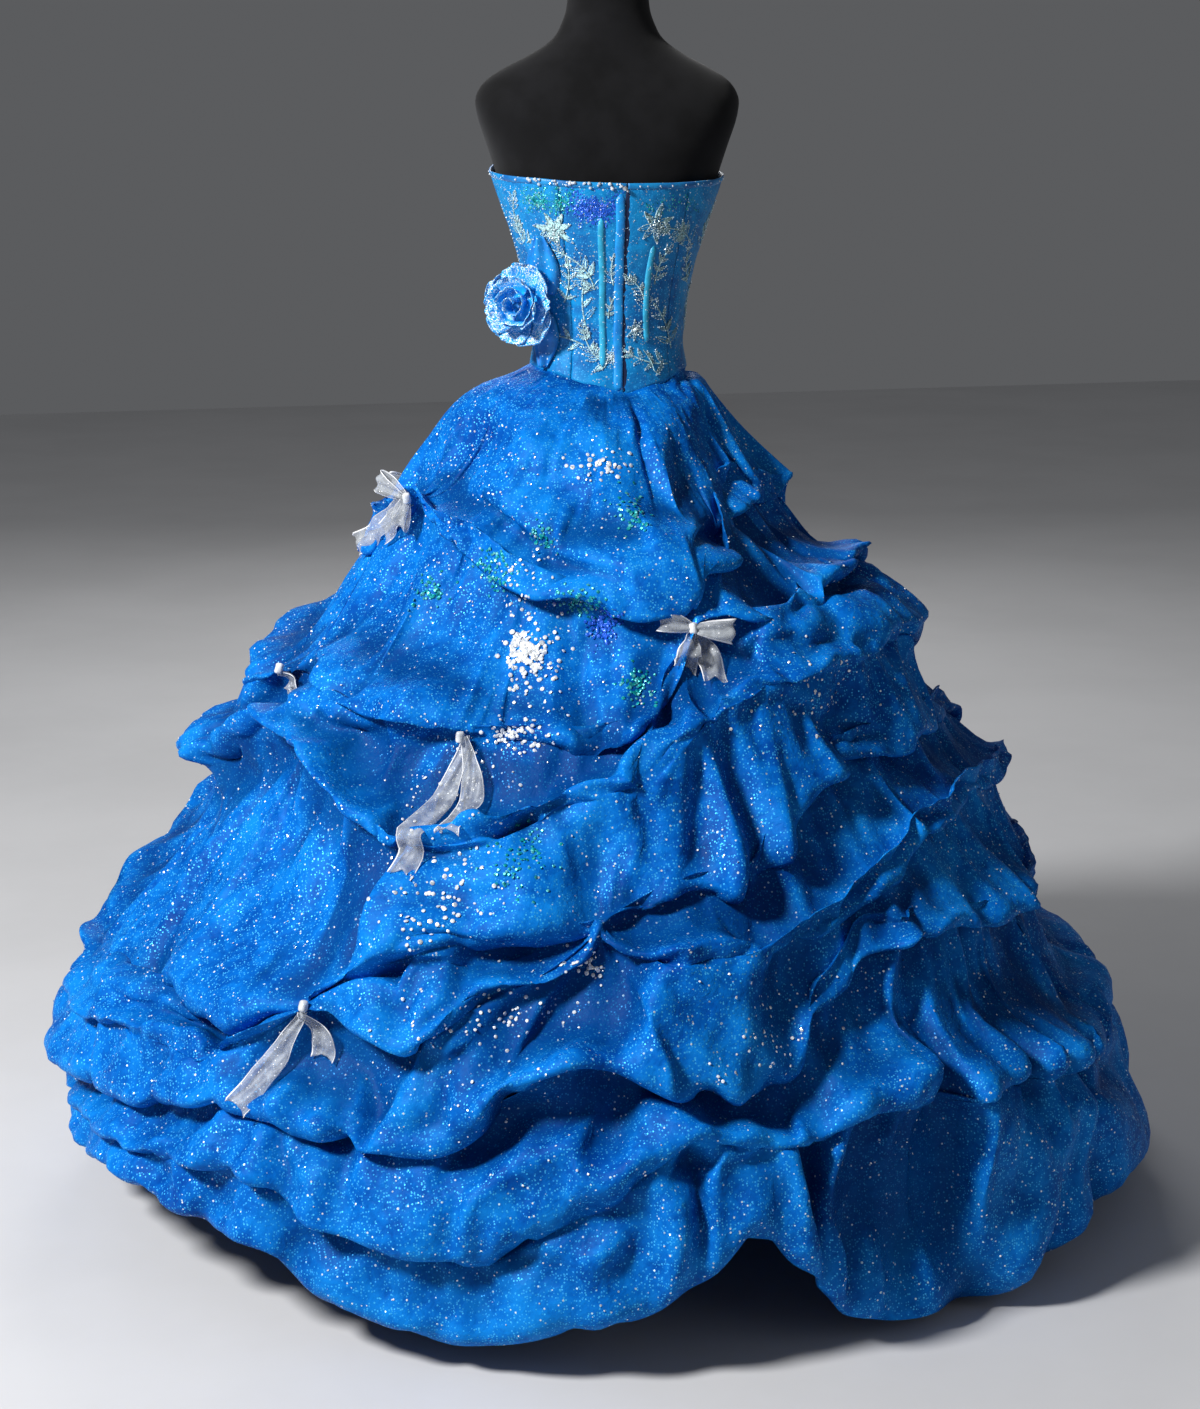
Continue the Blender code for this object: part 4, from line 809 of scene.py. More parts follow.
def smooth_path(points, steps):
    """A rounded path through a few points."""
    path = [Vector(p) for p in points]
    out = []
    for i in range(len(path) - 1):
        p0 = path[max(i - 1, 0)]
        p1, p2 = path[i], path[i + 1]
        p3 = path[min(i + 2, len(path) - 1)]
        for j in range(steps):
            t = j / steps
            out.append(0.5 * (2.0 * p1 + (p2 - p0) * t
                              + (2.0 * p0 - 5.0 * p1 + 4.0 * p2 - p3) * t * t
                              + (3.0 * p1 - p0 - 3.0 * p2 + p3) * t * t * t))
    out.append(path[-1])
    return out


# ---------------------------------------------------------------- repeated trims
# the node that makes each small shape, and what its sockets hold
SEWN_SHAPES = {
    "sequin": ("GeometryNodeMeshCone",
               {"Vertices": 7, "Radius Top": 0.55, "Radius Bottom": 1.0, "Depth": 0.22}),
    "crystal": ("GeometryNodeMeshCone",
                {"Vertices": 6, "Radius Top": 0.5, "Radius Bottom": 1.0, "Depth": 0.7}),
    "bead": ("GeometryNodeMeshIcoSphere", {"Radius": 1.0, "Subdivisions": 1}),
}


def scatter_tree(kind):
    """Geometry Nodes that put one small shape on every point of a piece.

    Each point carries its facing and its size; kind is a name in SEWN_SHAPES.
    """
    tree = bpy.data.node_groups.new("sew_on_" + kind, "GeometryNodeTree")
    named = {}
    for label, sort in (("Points", "Geometry"), ("Radius", "Float"), ("Random Turn", "Float"),
                        ("Seed", "Int"), ("Material", "Material")):
        socket = tree.interface.new_socket(label, in_out="INPUT", socket_type="NodeSocket" + sort)
        named[label] = socket.identifier
    tree.interface.new_socket("Pieces", in_out="OUTPUT", socket_type="NodeSocketGeometry")

    def node(node_kind, output, settings=None, sockets=None):
        return add_node(tree, node_kind, settings, sockets).outputs[output]

    group = add_node(tree, "NodeGroupInput").outputs
    shape_node, shape_sockets = SEWN_SHAPES[kind]
    stand = node("FunctionNodeAlignRotationToVector", "Rotation", {"axis": "Z"}, {
        "Vector": node("GeometryNodeInputNamedAttribute", "Attribute",
                       {"data_type": "FLOAT_VECTOR"}, {"Name": "facing"})})
    turn = node("FunctionNodeRandomValue", "Value", {"data_type": "FLOAT_VECTOR"}, {
        "Min": (-1.0, -1.0, -3.1), "Max": (1.0, 1.0, 3.1), "Seed": group["Seed"]})
    turn = node("ShaderNodeVectorMath", 0, {"operation": "SCALE"}, {
        "Vector": turn, "Scale": group["Random Turn"]})
    size = node("GeometryNodeInputNamedAttribute", "Attribute", {"data_type": "FLOAT"},
                {"Name": "size"})
    placed = node("GeometryNodeInstanceOnPoints", "Instances", None, {
        "Points": group["Points"], "Instance": node(shape_node, "Mesh", None, shape_sockets),
        "Rotation": node("FunctionNodeRotateRotation", "Rotation", {"rotation_space": "LOCAL"},
                         {"Rotation": stand, "Rotate By": turn}),
        "Scale": node("ShaderNodeMath", 0, {"operation": "MULTIPLY"},
                      {0: size, 1: group["Radius"]})})
    real = node("GeometryNodeRealizeInstances", "Geometry", None, {"Geometry": placed})
    covered = node("GeometryNodeSetMaterial", "Geometry", None, {
        "Geometry": real, "Material": group["Material"]})
    add_node(tree, "NodeGroupOutput", None, {"Pieces": covered})
    return tree, named


SCATTER_TREES = {}


def sew_on(name, kind, spots, radius, material, turn=0.3, seed=1):
    """Sews one small shape on each spot (place, facing, size) and joins them into one piece."""
    if kind not in SCATTER_TREES:
        SCATTER_TREES[kind] = scatter_tree(kind)
    tree, named = SCATTER_TREES[kind]
    mesh = bpy.data.meshes.new(name)
    places, facings, scales = zip(*spots)
    mesh.from_pydata([tuple(place) for place in places], [], [])
    facing = mesh.attributes.new("facing", "FLOAT_VECTOR", "POINT")
    facing.data.foreach_set("vector", np.array([tuple(f) for f in facings], np.float32).ravel())
    ob = link(name, mesh)
    paint_points(ob, "size", scales)
    modifier = ob.modifiers.new("Sew on", "NODES")
    modifier.node_group = tree
    for key, value in (("Radius", radius), ("Random Turn", turn), ("Seed", seed),
                       ("Material", material)):
        modifier[named[key]] = value
    return flatten(ob)


# ---------------------------------------------------------------- stage
def place_and_aim(name, data, place, way):
    """Puts a camera or lamp in its place, looking along a way."""
    ob = link(name, data)
    ob.location = place
    ob.rotation_mode = "QUATERNION"
    ob.rotation_quaternion = way.to_track_quat("-Z", "Y")
    return ob


def soft_light(name, place, size, power, tint=(1.0, 1.0, 1.0)):
    """Round lamp that looks at the middle of the gown."""
    lamp = bpy.data.lights.new(name, "AREA")
    lamp.shape = "DISK"
    lamp.size = size
    lamp.energy = power
    lamp.color = tint
    place_and_aim(name, lamp, place, GOWN_MIDDLE - Vector(place))


CAMERA_TURN = 14.0         # degrees round from the centre back, towards the wearer's left
CAMERA_TILT = 13.5         # degrees down
CAMERA_AWAY = 3.45
CAMERA_HEIGHT = 1.48
CAMERA_SENSOR = 36.0       # millimetres, as is the lens
CAMERA_LENS = 65.22924
CAMERA_SHIFT = -0.0056777856
GOWN_MIDDLE = Vector((0.0, 0.0, 0.75))
FLOOR_HALF = 9.0


def make_stage():
    scene = bpy.context.scene
    turn_cos, turn_sin = cos_sin(CAMERA_TURN)
    tilt_cos, tilt_sin = cos_sin(CAMERA_TILT)
    lens = bpy.data.cameras.new("view_from_behind")
    lens.sensor_width = CAMERA_SENSOR
    lens.lens = CAMERA_LENS
    lens.shift_x = CAMERA_SHIFT
    scene.camera = place_and_aim(
        "view_from_behind", lens,
        (CAMERA_AWAY * turn_sin, CAMERA_AWAY * turn_cos, CAMERA_HEIGHT),
        Vector((-turn_sin * tilt_cos, -turn_cos * tilt_cos, -tilt_sin)))
    corners = [(FLOOR_HALF * x, FLOOR_HALF * y, 0.0)
               for x, y in ((-1, -1), (1, -1), (1, 1), (-1, 1))]
    new_piece("studio_floor", corners, [(0, 1, 2, 3)],
                       finish("studio_floor", floor_finish, colours().floor))
    soft_light("key_light", (3.2, 1.7, 3.4), 0.8, 300.0)
    soft_light("fill_light", (-2.4, 3.6, 2.2), 2.6, 8.0, (0.85, 0.92, 1.0))
    soft_light("front_light", (-0.6, -3.8, 3.0), 2.2, 50.0)
    scene.view_settings.view_transform = "Standard"
    scene.world = bpy.data.worlds.new("studio")
    scene.world.use_nodes = True
    sky = scene.world.node_tree.nodes["Background"].inputs
    sky["Color"].default_value = (0.80, 0.82, 0.86, 1.0)
    sky["Strength"].default_value = 0.13


# ---------------------------------------------------------------- dress form
def make_form():
    tint = colours()
    heights = np.concatenate([np.linspace(0.815, 0.86, 10)[:-1], np.linspace(0.86, 1.46, 60)[:-1],
                              np.linspace(1.46, FORM_TOP, 44)])
    steps = 96
    angles = np.arange(steps) * 360.0 / steps
    verts = []
    for z in heights[::-1]:
        verts += [around(t, float(r), float(z)) for t, r in zip(angles, form_radius(angles, z))]
    faces = grid_faces(len(heights), steps, closed=True)
    # the flat top closes in two rings and a lid
    crown = len(verts)
    for share in (0.72, 0.4):
        verts += [Vector((v.x * share, v.y * share, FORM_TOP)) for v in verts[:steps]]
    for a, b in ((crown, 0), (crown + steps, crown)):
        for j in range(steps):
            k = (j + 1) % steps
            faces.append((a + j, b + j, b + k, a + k))
    faces.append(tuple(reversed(range(crown + steps, crown + 2 * steps))))
    faces.append(tuple(range(crown - steps, crown)))
    body = new_piece("form_cover", verts, faces, finish("form_knit", knit_finish, tint.form_black),
                     closed=True)
    own(body, ("form_torso",))
    paint = finish("stand_paint", painted_finish, tint.stand_black)
    for name in ("stand_base", "stand_pole"):
        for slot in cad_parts[name].material_slots:
            slot.link = "OBJECT"
            slot.material = paint


# ---------------------------------------------------------------- bodice
def bodice_radius(theta, z):
    """Distance from the axis to the inside of the bodice."""
    return float(form_radius(theta, z)) + EASE


def on_bodice(theta, z, lift=0.0):
    return around(theta, bodice_radius(theta, z) + WALL_BODICE + lift, z)


def bodice_point(theta, v, lift=0.0):
    """v runs 0 at the top edge to 1 at the bottom edge."""
    top = float(ring_value(BODICE_EDGE, theta, 1))
    low = float(ring_value(BODICE_EDGE, theta, 2))
    return on_bodice(theta, top + (low - top) * v, lift)


def make_bodice():
    cloth = finish("bodice_satin", satin_finish)
    rows = 56
    for name, first, last in BODICE_PANELS:
        cols = max(18, int((last - first) * 0.75))
        verts = []
        for i in range(rows + 1):
            for j in range(cols + 1):
                theta = first + SEAM_GAP + (last - first - 2.0 * SEAM_GAP) * j / cols
                v = i / rows
                from_seam = min(j, cols - j) / 3.0
                dip = 0.0010 * max(0.0, 1.0 - from_seam) ** 2
                spot = bodice_point(theta, v)
                pucker = noise.noise(spot * 38.0) * 0.0009 + noise.noise(spot * 90.0) * 0.0003
                pucker += 0.0004 * math.sin(v * 210.0) * max(0.0, 1.0 - from_seam)
                verts.append(bodice_point(theta, v, pucker - dip - 0.0004))
        panel = new_piece(name + "_cloth", verts, grid_faces(rows + 1, cols + 1), cloth)
        add_modifier(panel, "SOLIDIFY", thickness=PANEL_WALL, offset=-1.0)
        own(panel, (name,))
        mesh_area(panel) / 2.0


def top_edge(theta, lift, drop):
    """A place a drop below the bodice's top edge."""
    z = float(ring_value(BODICE_EDGE, theta, 1)) - drop
    return on_bodice(theta, z, lift)


def strip_on_bodice(name, path, width, proud, material, replaced):
    """Rounded band laid along a path of (angle, height) on the bodice, with closed round ends."""
    count = len(path)
    sides = 10
    verts = []
    for i, (theta, z) in enumerate(path):
        t0, z0 = path[max(i - 1, 0)]
        t1, z1 = path[min(i + 1, count - 1)]
        radius = bodice_radius(theta, z)
        along = math.radians(t1 - t0) * radius
        rise = z1 - z0
        size = math.hypot(along, rise)
        side = (-rise / size, along / size)
        end = min(i, count - 1 - i)
        round_end = math.sqrt(max(0.02, 1.0 - max(0.0, 1.0 - end / 2.0) ** 2))
        for j in range(sides + 1):
            a = math.pi * j / sides
            off = math.cos(a) * 0.5 * width * round_end
            up = math.sin(a) ** 0.7 * proud * round_end
            verts.append(on_bodice(theta + math.degrees(side[0] * off / radius),
                                   z + side[1] * off, up + 0.0002))
        verts.append(on_bodice(theta, z, -0.0004))
    own(new_piece(name, verts, tube_faces(count, sides + 2), material, closed=True), replaced)


# angles of the larger crystals, in pairs, on the bound edge
EDGE_CRYSTALS = (60, 56, 53.5, 48, 45, 40, 37.5, 34, 28, 25, 20, 13, 10, 6.5)


def make_trims():
    size = sizes()
    tint = colours()
    pale = finish("pale_satin", plain_satin_finish, tint.satin_pale, shaded(tint.satin_pale, 0.55))
    edge_satin = finish("edge_satin", plain_satin_finish, tint.satin_bright, tint.satin_deep)
    dark = finish("shaded_satin", plain_satin_finish, (0.0, 0.012, 0.075), (0.0, 0.006, 0.040), 0.6)

    # bound edge: a rolled strip that follows the top of every panel
    steps = 260
    half = size.binding_height / 2.0
    sides = 12
    verts = []
    for i in range(steps + 1):
        theta = 1.4 + 359.2 * i / steps
        ripple = (0.0003 * math.sin(theta * 1.9)
                  + 0.00025 * noise.noise(Vector((theta * 0.4, 0.0, 0.0))))
        verts += [top_edge(theta, 0.0006 + (0.0019 + ripple) * c, half - 0.0006 - half * s)
                  for c, s in circle(sides)]
    binding = new_piece("top_binding_rolled", verts, tube_faces(steps + 1, sides), edge_satin,
                        closed=True)
    own(binding, ("bodice_top_binding",))

    lap = finish("lap_satin", plain_satin_finish, (0.006, 0.34, 0.78), (0.002, 0.18, 0.56))
    placket = [(5.4 + 0.25 * math.sin(i * 0.7), 1.353 - 0.257 * i / 40) for i in range(41)]
    strip_on_bodice("placket_lap", placket, 0.0120, 0.0032, lap, ("back_placket",))
    # painted shadow: a dark navy strip laid in the gap beside the placket, where the lapped closure
    # throws its shade
    gap_shadow_path = [(0.2 + 0.2 * math.sin(i * 0.5), 1.358 - 0.262 * i / 40) for i in range(41)]
    strip_on_bodice("closure_gap_shadow", gap_shadow_path, 0.0070, 0.0005, dark, ())
    left = [(18.6 + 0.3 * math.sin(i * 0.35), 1.322 - 0.194 * i / 34) for i in range(35)]
    strip_on_bodice("boning_tube_left", left, size.channel_width, 0.0036, pale,
                    ("boning_channel_left",))
    right = [(339.5 + 2.2 * math.sin(math.pi * i / 24), 1.286 - 0.128 * i / 24) for i in range(25)]
    strip_on_bodice("boning_tube_right", right, size.channel_width, 0.0036, pale,
                    ("boning_channel_right",))

    # crystals on the bound edge, and the round hook bead at the centre back
    rng = np.random.default_rng(7)
    spots = []
    for theta in EDGE_CRYSTALS:
        for more in range(2):
            t = theta + rng.normal(0.0, 1.0)
            place = top_edge(t, 0.0032, 0.001 + 0.006 * rng.random() * more)
            spots.append((place, around(t, 1.0, 0.25), 0.6 + 0.7 * rng.random()))
    for theta in np.arange(-76.0, 300.0, 9.0):
        t = theta + rng.normal(0.0, 1.6)
        if 2.0 < t % 360.0 < 62.0:
            continue
        spots.append((top_edge(t, 0.0030, 0.0035), around(t, 1.0, 0.2), 0.45 + 0.4 * rng.random()))
    stones = sew_on("edge_crystals", "crystal", spots, size.crystal_radius,
                    finish("cut_crystal", bead_finish, (0.86, 0.93, 1.0), 0.05, 0.3), 0.25, 3)
    own(stones, ())
    bead = sew_on("hook_bead_round", "bead", [
        (on_bodice(3.2, 1.3590, 0.0060), (0.0, 1.0, 0.0), 1.0),
        (on_bodice(1.2, 1.3560, 0.0042), (0.0, 1.0, 0.0), 0.6),
        (on_bodice(5.0, 1.3620, 0.0042), (0.0, 1.0, 0.0), 0.55)], 0.0036,
        finish("hook_bead", bead_finish, (0.75, 0.80, 0.84), 0.08, 0.6), 0.3, 4)
    own(bead, ("back_hook_bead",))


# ---------------------------------------------------------------- lace
MOTIF_GROWTH = 1.2         # motifs are sewn this much larger than their table
LOOSE_BEADS = 210
# name, CAD node or None, kind, angle, height, size, turn in degrees
MOTIFS = (
    ("flower_upper_left", "lace_flower_back_left", "flower", 49.0, 1.306, 0.022, 10.0),
    ("leaf_large_left", "lace_leaf_back_left", "leaf", 35.0, 1.262, 0.034, 60.0),
    ("sprig_middle_left", "lace_sprig_back_left", "spray", 34.0, 1.198, 0.028, 75.0),
    ("corner_lower_left", "lace_corner_back_left", "spray", 50.0, 1.166, 0.024, 20.0),
    ("flower_upper_right", "lace_flower_back_right", "flower", 340.0, 1.312, 0.022, 0.0),
    ("spray_high_right", "lace_spray_side_right", "leaf", 320.0, 1.304, 0.026, 35.0),
    ("sprig_lower_right", "lace_sprig_side_right", "spray", 321.0, 1.182, 0.030, 70.0),
    ("corner_lower_right", "lace_corner_back_right", "spray", 339.0, 1.134, 0.026, 8.0),
    ("stem_left", None, "spray", 44.0, 1.236, 0.022, 110.0),
    ("curl_left", None, "leaf", 28.0, 1.150, 0.024, 40.0),
    ("small_left_one", None, "spray", 11.5, 1.252, 0.015, 80.0),
    ("small_left_two", None, "spray", 12.0, 1.208, 0.014, 100.0),
    ("small_left_three", None, "flower", 11.0, 1.142, 0.011, 0.0),
    ("arc_left", None, "spray", 62.0, 1.296, 0.020, 160.0),
    ("right_middle", None, "spray", 333.0, 1.258, 0.020, 100.0),
    ("right_low", None, "leaf", 347.0, 1.228, 0.020, 75.0),
    ("right_edge", None, "spray", 305.0, 1.256, 0.022, 60.0),
    ("right_small", None, "flower", 350.0, 1.176, 0.011, 20.0),
    ("side_left_high", None, "leaf", 78.0, 1.316, 0.026, 80.0),
    ("side_left_low", None, "spray", 96.0, 1.200, 0.026, 90.0),
    ("side_right_high", None, "leaf", 286.0, 1.310, 0.026, 100.0),
    ("side_right_low", None, "spray", 284.0, 1.200, 0.026, 90.0),
    ("front_left_high", None, "flower", 128.0, 1.330, 0.024, 0.0),
    ("front_left_low", None, "leaf", 126.0, 1.230, 0.030, 100.0),
    ("front_left_point", None, "spray", 146.0, 1.150, 0.028, 80.0),
    ("front_centre_high", None, "leaf", 166.0, 1.310, 0.030, 70.0),
    ("front_centre_low", None, "flower", 184.0, 1.220, 0.024, 15.0),
    ("front_right_high", None, "leaf", 206.0, 1.320, 0.030, 110.0),
    ("front_right_low", None, "spray", 224.0, 1.200, 0.028, 100.0),
    ("front_right_side", None, "flower", 246.0, 1.310, 0.022, 0.0),
    ("front_right_point", None, "spray", 252.0, 1.180, 0.026, 80.0),
)


# number of petals, their length and width against the flower's size
FLOWER_RINGS = ((7, 0.95, 0.30), (5, 0.50, 0.26))


def motif_plan(kind, size, rng):
    """Petals (along, up, direction, length, width), stems and beads of one lace motif."""
    petals = []
    stems = []
    beads = []
    if kind == "flower":
        for ring, (count, reach, wide) in enumerate(FLOWER_RINGS):
            for j in range(count):
                a = 360.0 * (j + 0.5 * ring) / count + rng.normal(0.0, 5.0)
                length = size * reach * (0.85 + 0.3 * rng.random())
                petals.append((0.0, 0.0, a, length, size * wide))
                c, s = cos_sin(a)
                beads.append((c * length * 1.02, s * length * 1.02, 0.9))
        beads += [(0.0, 0.0, 1.5), (size * 0.10, 0.0, 1.0), (-size * 0.08, size * 0.08, 1.0)]
        return petals, stems, beads
    bend = (0.9 if kind == "leaf" else 0.45) * (1 if rng.random() > 0.4 else -1)
    stem = []
    for i in range(9):
        f = i / 8.0
        a = bend * (f - 0.5) * 2.0
        stem.append((size * 2.0 * (f - 0.5) * math.cos(a * 0.5),
                     size * 0.85 * math.sin(a * 0.8) * f))
    stems.append(stem)
    pairs = 6 if kind == "leaf" else 4
    for i in range(pairs):
        f = (i + 0.6) / pairs
        k = min(7, int(f * 8.0))
        u, w = stem[k]
        ahead = math.degrees(math.atan2(stem[k + 1][1] - w, stem[k + 1][0] - u))
        for side in (-1.0, 1.0):
            if kind == "spray" and rng.random() < 0.15:
                continue
            a = ahead + side * (58.0 - 22.0 * f)
            length = size * (0.62 - 0.28 * f) * (0.8 + 0.4 * rng.random())
            petals.append((u, w, a, length, length * (0.42 if kind == "leaf" else 0.34)))
            c, s = cos_sin(a)
            beads.append((u + c * length * 1.08, w + s * length * 1.08, 0.9))
        beads.append((u, w, 0.8))
    u, w = stem[-1]
    ahead = math.degrees(math.atan2(w - stem[-2][1], u - stem[-2][0]))
    petals.append((u, w, ahead, size * 0.35, size * 0.15))
    for _ in range(3):
        beads.append((u + size * 0.1 * rng.normal(), w + size * 0.1 * rng.normal(), 1.1))
    return petals, stems, beads


def petal_swell(f):
    """Half width of a lace petal, from its root at 0 to its tip at 1."""
    return math.sin(math.pi * min(0.97, 0.06 + f * 0.92)) ** 0.8


def sew_motif(name, replaced, kind, theta0, z0, size, turn, cord, rng):
    """One lace motif: raised petals and a stem of cord, with beads sewn along them."""
    petals, stems, beads = motif_plan(kind, size, rng)
    c0, s0 = cos_sin(turn)
    radius = bodice_radius(theta0, z0)

    def lay(u, w, lift):
        uu, ww = u * c0 - w * s0, u * s0 + w * c0
        z = min(z0 + ww, 1.360)
        return on_bodice(theta0 + math.degrees(uu / radius), z, lift)

    parts = []
    for u, w, a, length, wide in petals:
        c, s = cos_sin(a)
        verts = []
        rows = 6
        for i in range(rows + 1):
            f = i / rows
            half = 0.5 * wide * petal_swell(f)
            for j in range(5):
                g = j / 2.0 - 1.0
                x = u + c * length * f - s * half * g
                y = w + s * length * f + c * half * g
                rib = 0.0016 if abs(g) == 1.0 else (0.0007 if abs(g) == 0.5 else 0.0013)
                verts.append(lay(x, y, rib))
        under = [p - Vector((p.x, p.y, 0.0)).normalized() * 0.0012 for p in verts]
        faces = [tuple(reversed(q)) for q in grid_faces(rows + 1, 5)]
        n = len(verts)
        faces += [tuple(n + i for i in reversed(q)) for q in faces]
        rim = list(range(5)) + [5 * i + 4 for i in range(1, rows + 1)]
        rim += [5 * rows + j for j in (3, 2, 1, 0)] + [5 * i for i in range(rows - 1, 0, -1)]
        for p, q in zip(rim, rim[1:] + rim[:1]):
            faces.append((p, q, n + q, n + p))
        parts.append((verts + under, faces))
    for stem in stems:
        path = [lay(u, w, 0.0012) for u, w in stem]
        parts.append(cord_along(smooth_path(path, 2), 0.0011))
    for u, w, a, length, wide in petals:
        c, s = cos_sin(a)
        for f in (0.22, 0.48, 0.74, 0.95):
            half = 0.46 * wide * petal_swell(f)
            for g in (-1.0, 1.0):
                beads.append((u + c * length * f - s * half * g, w + s * length * f + c * half * g,
                              0.45 + 0.3 * rng.random()))
    verts, faces = join_parts(parts)
    motif = new_piece("lace_" + name, verts, faces, cord, closed=True)
    own(motif, (replaced,) if replaced else ())
    return [(lay(u, w, 0.0021), lay(u, w, 0.01) - lay(u, w, 0.0), s) for u, w, s in beads]


def make_lace():
    tint = colours()
    rng = np.random.default_rng(12)
    cord = finish("lace_cord", cord_finish, tint.lace)
    cover = finish("lace_bead", bead_finish, (0.62, 0.80, 0.84), 0.2, 0.3)
    spots = []
    for name, node, kind, theta, z, size, turn in MOTIFS:
        spots += sew_motif(name, node, kind, theta, z, size * MOTIF_GROWTH, turn, cord, rng)
    # loose beads between the motifs, closer at the sides
    for _ in range(LOOSE_BEADS):
        theta = rng.uniform(-90.0, 270.0)
        z = rng.uniform(1.125, 1.345)
        spots.append((on_bodice(theta, z, 0.0010), around(theta, 1.0, 0.0),
                      0.45 + 0.4 * rng.random()))
    # beads that edge the side seams
    for theta in (94.0, 266.0):
        for i in range(34):
            z = 1.335 - 0.0055 * i
            t = theta + 2.2 * math.sin(i * 1.1)
            spots.append((on_bodice(t, z, 0.0014), around(t, 1.0, 0.0), 0.9))
    beads = sew_on("lace_beads", "bead", spots, 0.00125, cover, 0.5, 9)
    own(beads, ())
    # thread that trails below the lowest motif
    path = smooth_path([on_bodice(343.0, 1.150, 0.002), on_bodice(337.0, 1.136, 0.003),
                        on_bodice(334.0, 1.122, 0.003), on_bodice(329.0, 1.116, 0.004)], 6)
    verts, faces = cord_along(path, 0.0007)
    own(new_piece("lace_trailing_thread", verts, faces, cord), ())


# ---------------------------------------------------------------- rosette
ROSETTE_CENTRE = Vector((0.134, 0.052, 1.210))
ROSETTE_OUT = Vector((0.70, 0.71, 0.05)).normalized()
ROSETTE_RIGHT = Vector((0.0, 0.0, 1.0)).cross(ROSETTE_OUT).normalized()
ROSETTE_UP = ROSETTE_OUT.cross(ROSETTE_RIGHT)
PETAL_WALL = 0.0008
PETAL_SIDES = 2.05         # a thin piece's surface against its cloth: both sides and the edges
PETAL_GROWTH = 1.12        # petals are cut this much larger than their table


def rosette_at(u, w, d):
    return ROSETTE_CENTRE + ROSETTE_RIGHT * u + ROSETTE_UP * w + ROSETTE_OUT * d


# name, CAD node or None, direction in degrees, start, reach, half width, back, tip lift, curl
ROSE_PETALS = (
    ("petal_upper", "rosette_petal_upper", 62.0, 0.004, 0.050, 0.029, -0.007, 0.010, 0.007),
    ("petal_outer", "rosette_petal_outer", 188.0, 0.004, 0.049, 0.031, -0.012, 0.012, 0.008),
    ("petal_lower", "rosette_petal_lower", 300.0, 0.004, 0.052, 0.029, -0.016, 0.010, 0.007),
    ("petal_side", None, 2.0, 0.004, 0.044, 0.024, -0.010, 0.012, 0.007),
    ("petal_top_back", None, 118.0, 0.004, 0.046, 0.026, -0.013, 0.008, 0.006),
    ("petal_low_back", None, 240.0, 0.004, 0.050, 0.028, -0.014, 0.012, 0.008),
    ("petal_inner_one", None, 96.0, 0.008, 0.033, 0.020, 0.004, 0.012, 0.004),
    ("petal_inner_two", None, 214.0, 0.008, 0.034, 0.021, 0.003, 0.012, 0.004),
    ("petal_inner_three", None, 332.0, 0.008, 0.033, 0.020, 0.002, 0.012, 0.004),
)


def rosette_petal(name, replaced, direction, start, reach, half, back, tip, curl, cloth):
    c, s = cos_sin(direction)
    rows, cols = 18, 18
    verts = []
    rim = []
    for i in range(rows + 1):
        f = i / rows
        wide = half * (0.22 + 0.78 * math.sin(math.pi * (0.08 + 0.66 * f)) ** 0.8)
        if f > 0.8:
            wide *= math.sqrt(max(0.05, 1.0 - ((f - 0.8) / 0.21) ** 2 * 0.75))
        for j in range(cols + 1):
            g = 2.0 * j / cols - 1.0
            ruffle = 0.0022 * math.sin(g * 9.0 + direction) * f * f
            along = start + (reach - start) * f * (1.0 - 0.10 * g * g)
            roll = curl * max(0.0, f - 0.72) ** 2 * 12.0
            d = back + tip * f * f + 0.006 * f * g * g + ruffle - roll * 0.4
            d += 0.0016 * noise.noise(Vector((g * 2.2, f * 2.6, direction * 0.1)))
            along -= roll * 0.10
            u = along * c - g * wide * s
            v = along * s + g * wide * c
            verts.append(rosette_at(u, v, d))
            rim.append(max(f, abs(g) ** 2 * (0.35 + 0.65 * f)))
    piece = thin_piece(f"rosette_{name}_curled", verts, rim, cols, cloth, PETAL_WALL,
                       lambda middle: ROSETTE_OUT)
    own(piece, (replaced,) if replaced else ())
    mesh_area(piece) / PETAL_SIDES


def rosette_leaf(name, replaced, root, tip, width, cloth):
    """Folded leaf of satin that lies on the bodice from its root to its tip."""
    rows, cols = 22, 16
    verts = []
    rim = []
    for i in range(rows + 1):
        f = i / rows
        theta = root[0] + (tip[0] - root[0]) * f
        z = root[1] + (tip[1] - root[1]) * f
        half = 0.5 * width * (0.10 + 0.90 * math.sin(math.pi * (0.28 + 0.68 * f)))
        radius = bodice_radius(theta, z)
        for j in range(cols + 1):
            g = 2.0 * j / cols - 1.0
            fold = 0.0030 + 0.0140 * (1.0 - abs(g)) ** 0.7 * math.sin(math.pi * (0.20 + 0.6 * f))
            fold += 0.0040 * math.cos(g * 9.0 + f * 3.0) * (0.4 + 0.6 * f) * (1.0 - 0.5 * abs(g))
            verts.append(on_bodice(theta + math.degrees(g * half / radius), z, max(fold, 0.0012)))
            rim.append(max(abs(g) ** 3, f ** 6) * 0.85)
    piece = thin_piece("rosette_" + name, verts, rim, cols, cloth, PETAL_WALL,
                       lambda middle: Vector((middle.center.x, middle.center.y, 0.0)))
    own(piece, (replaced,))
    mesh_area(piece) / PETAL_SIDES


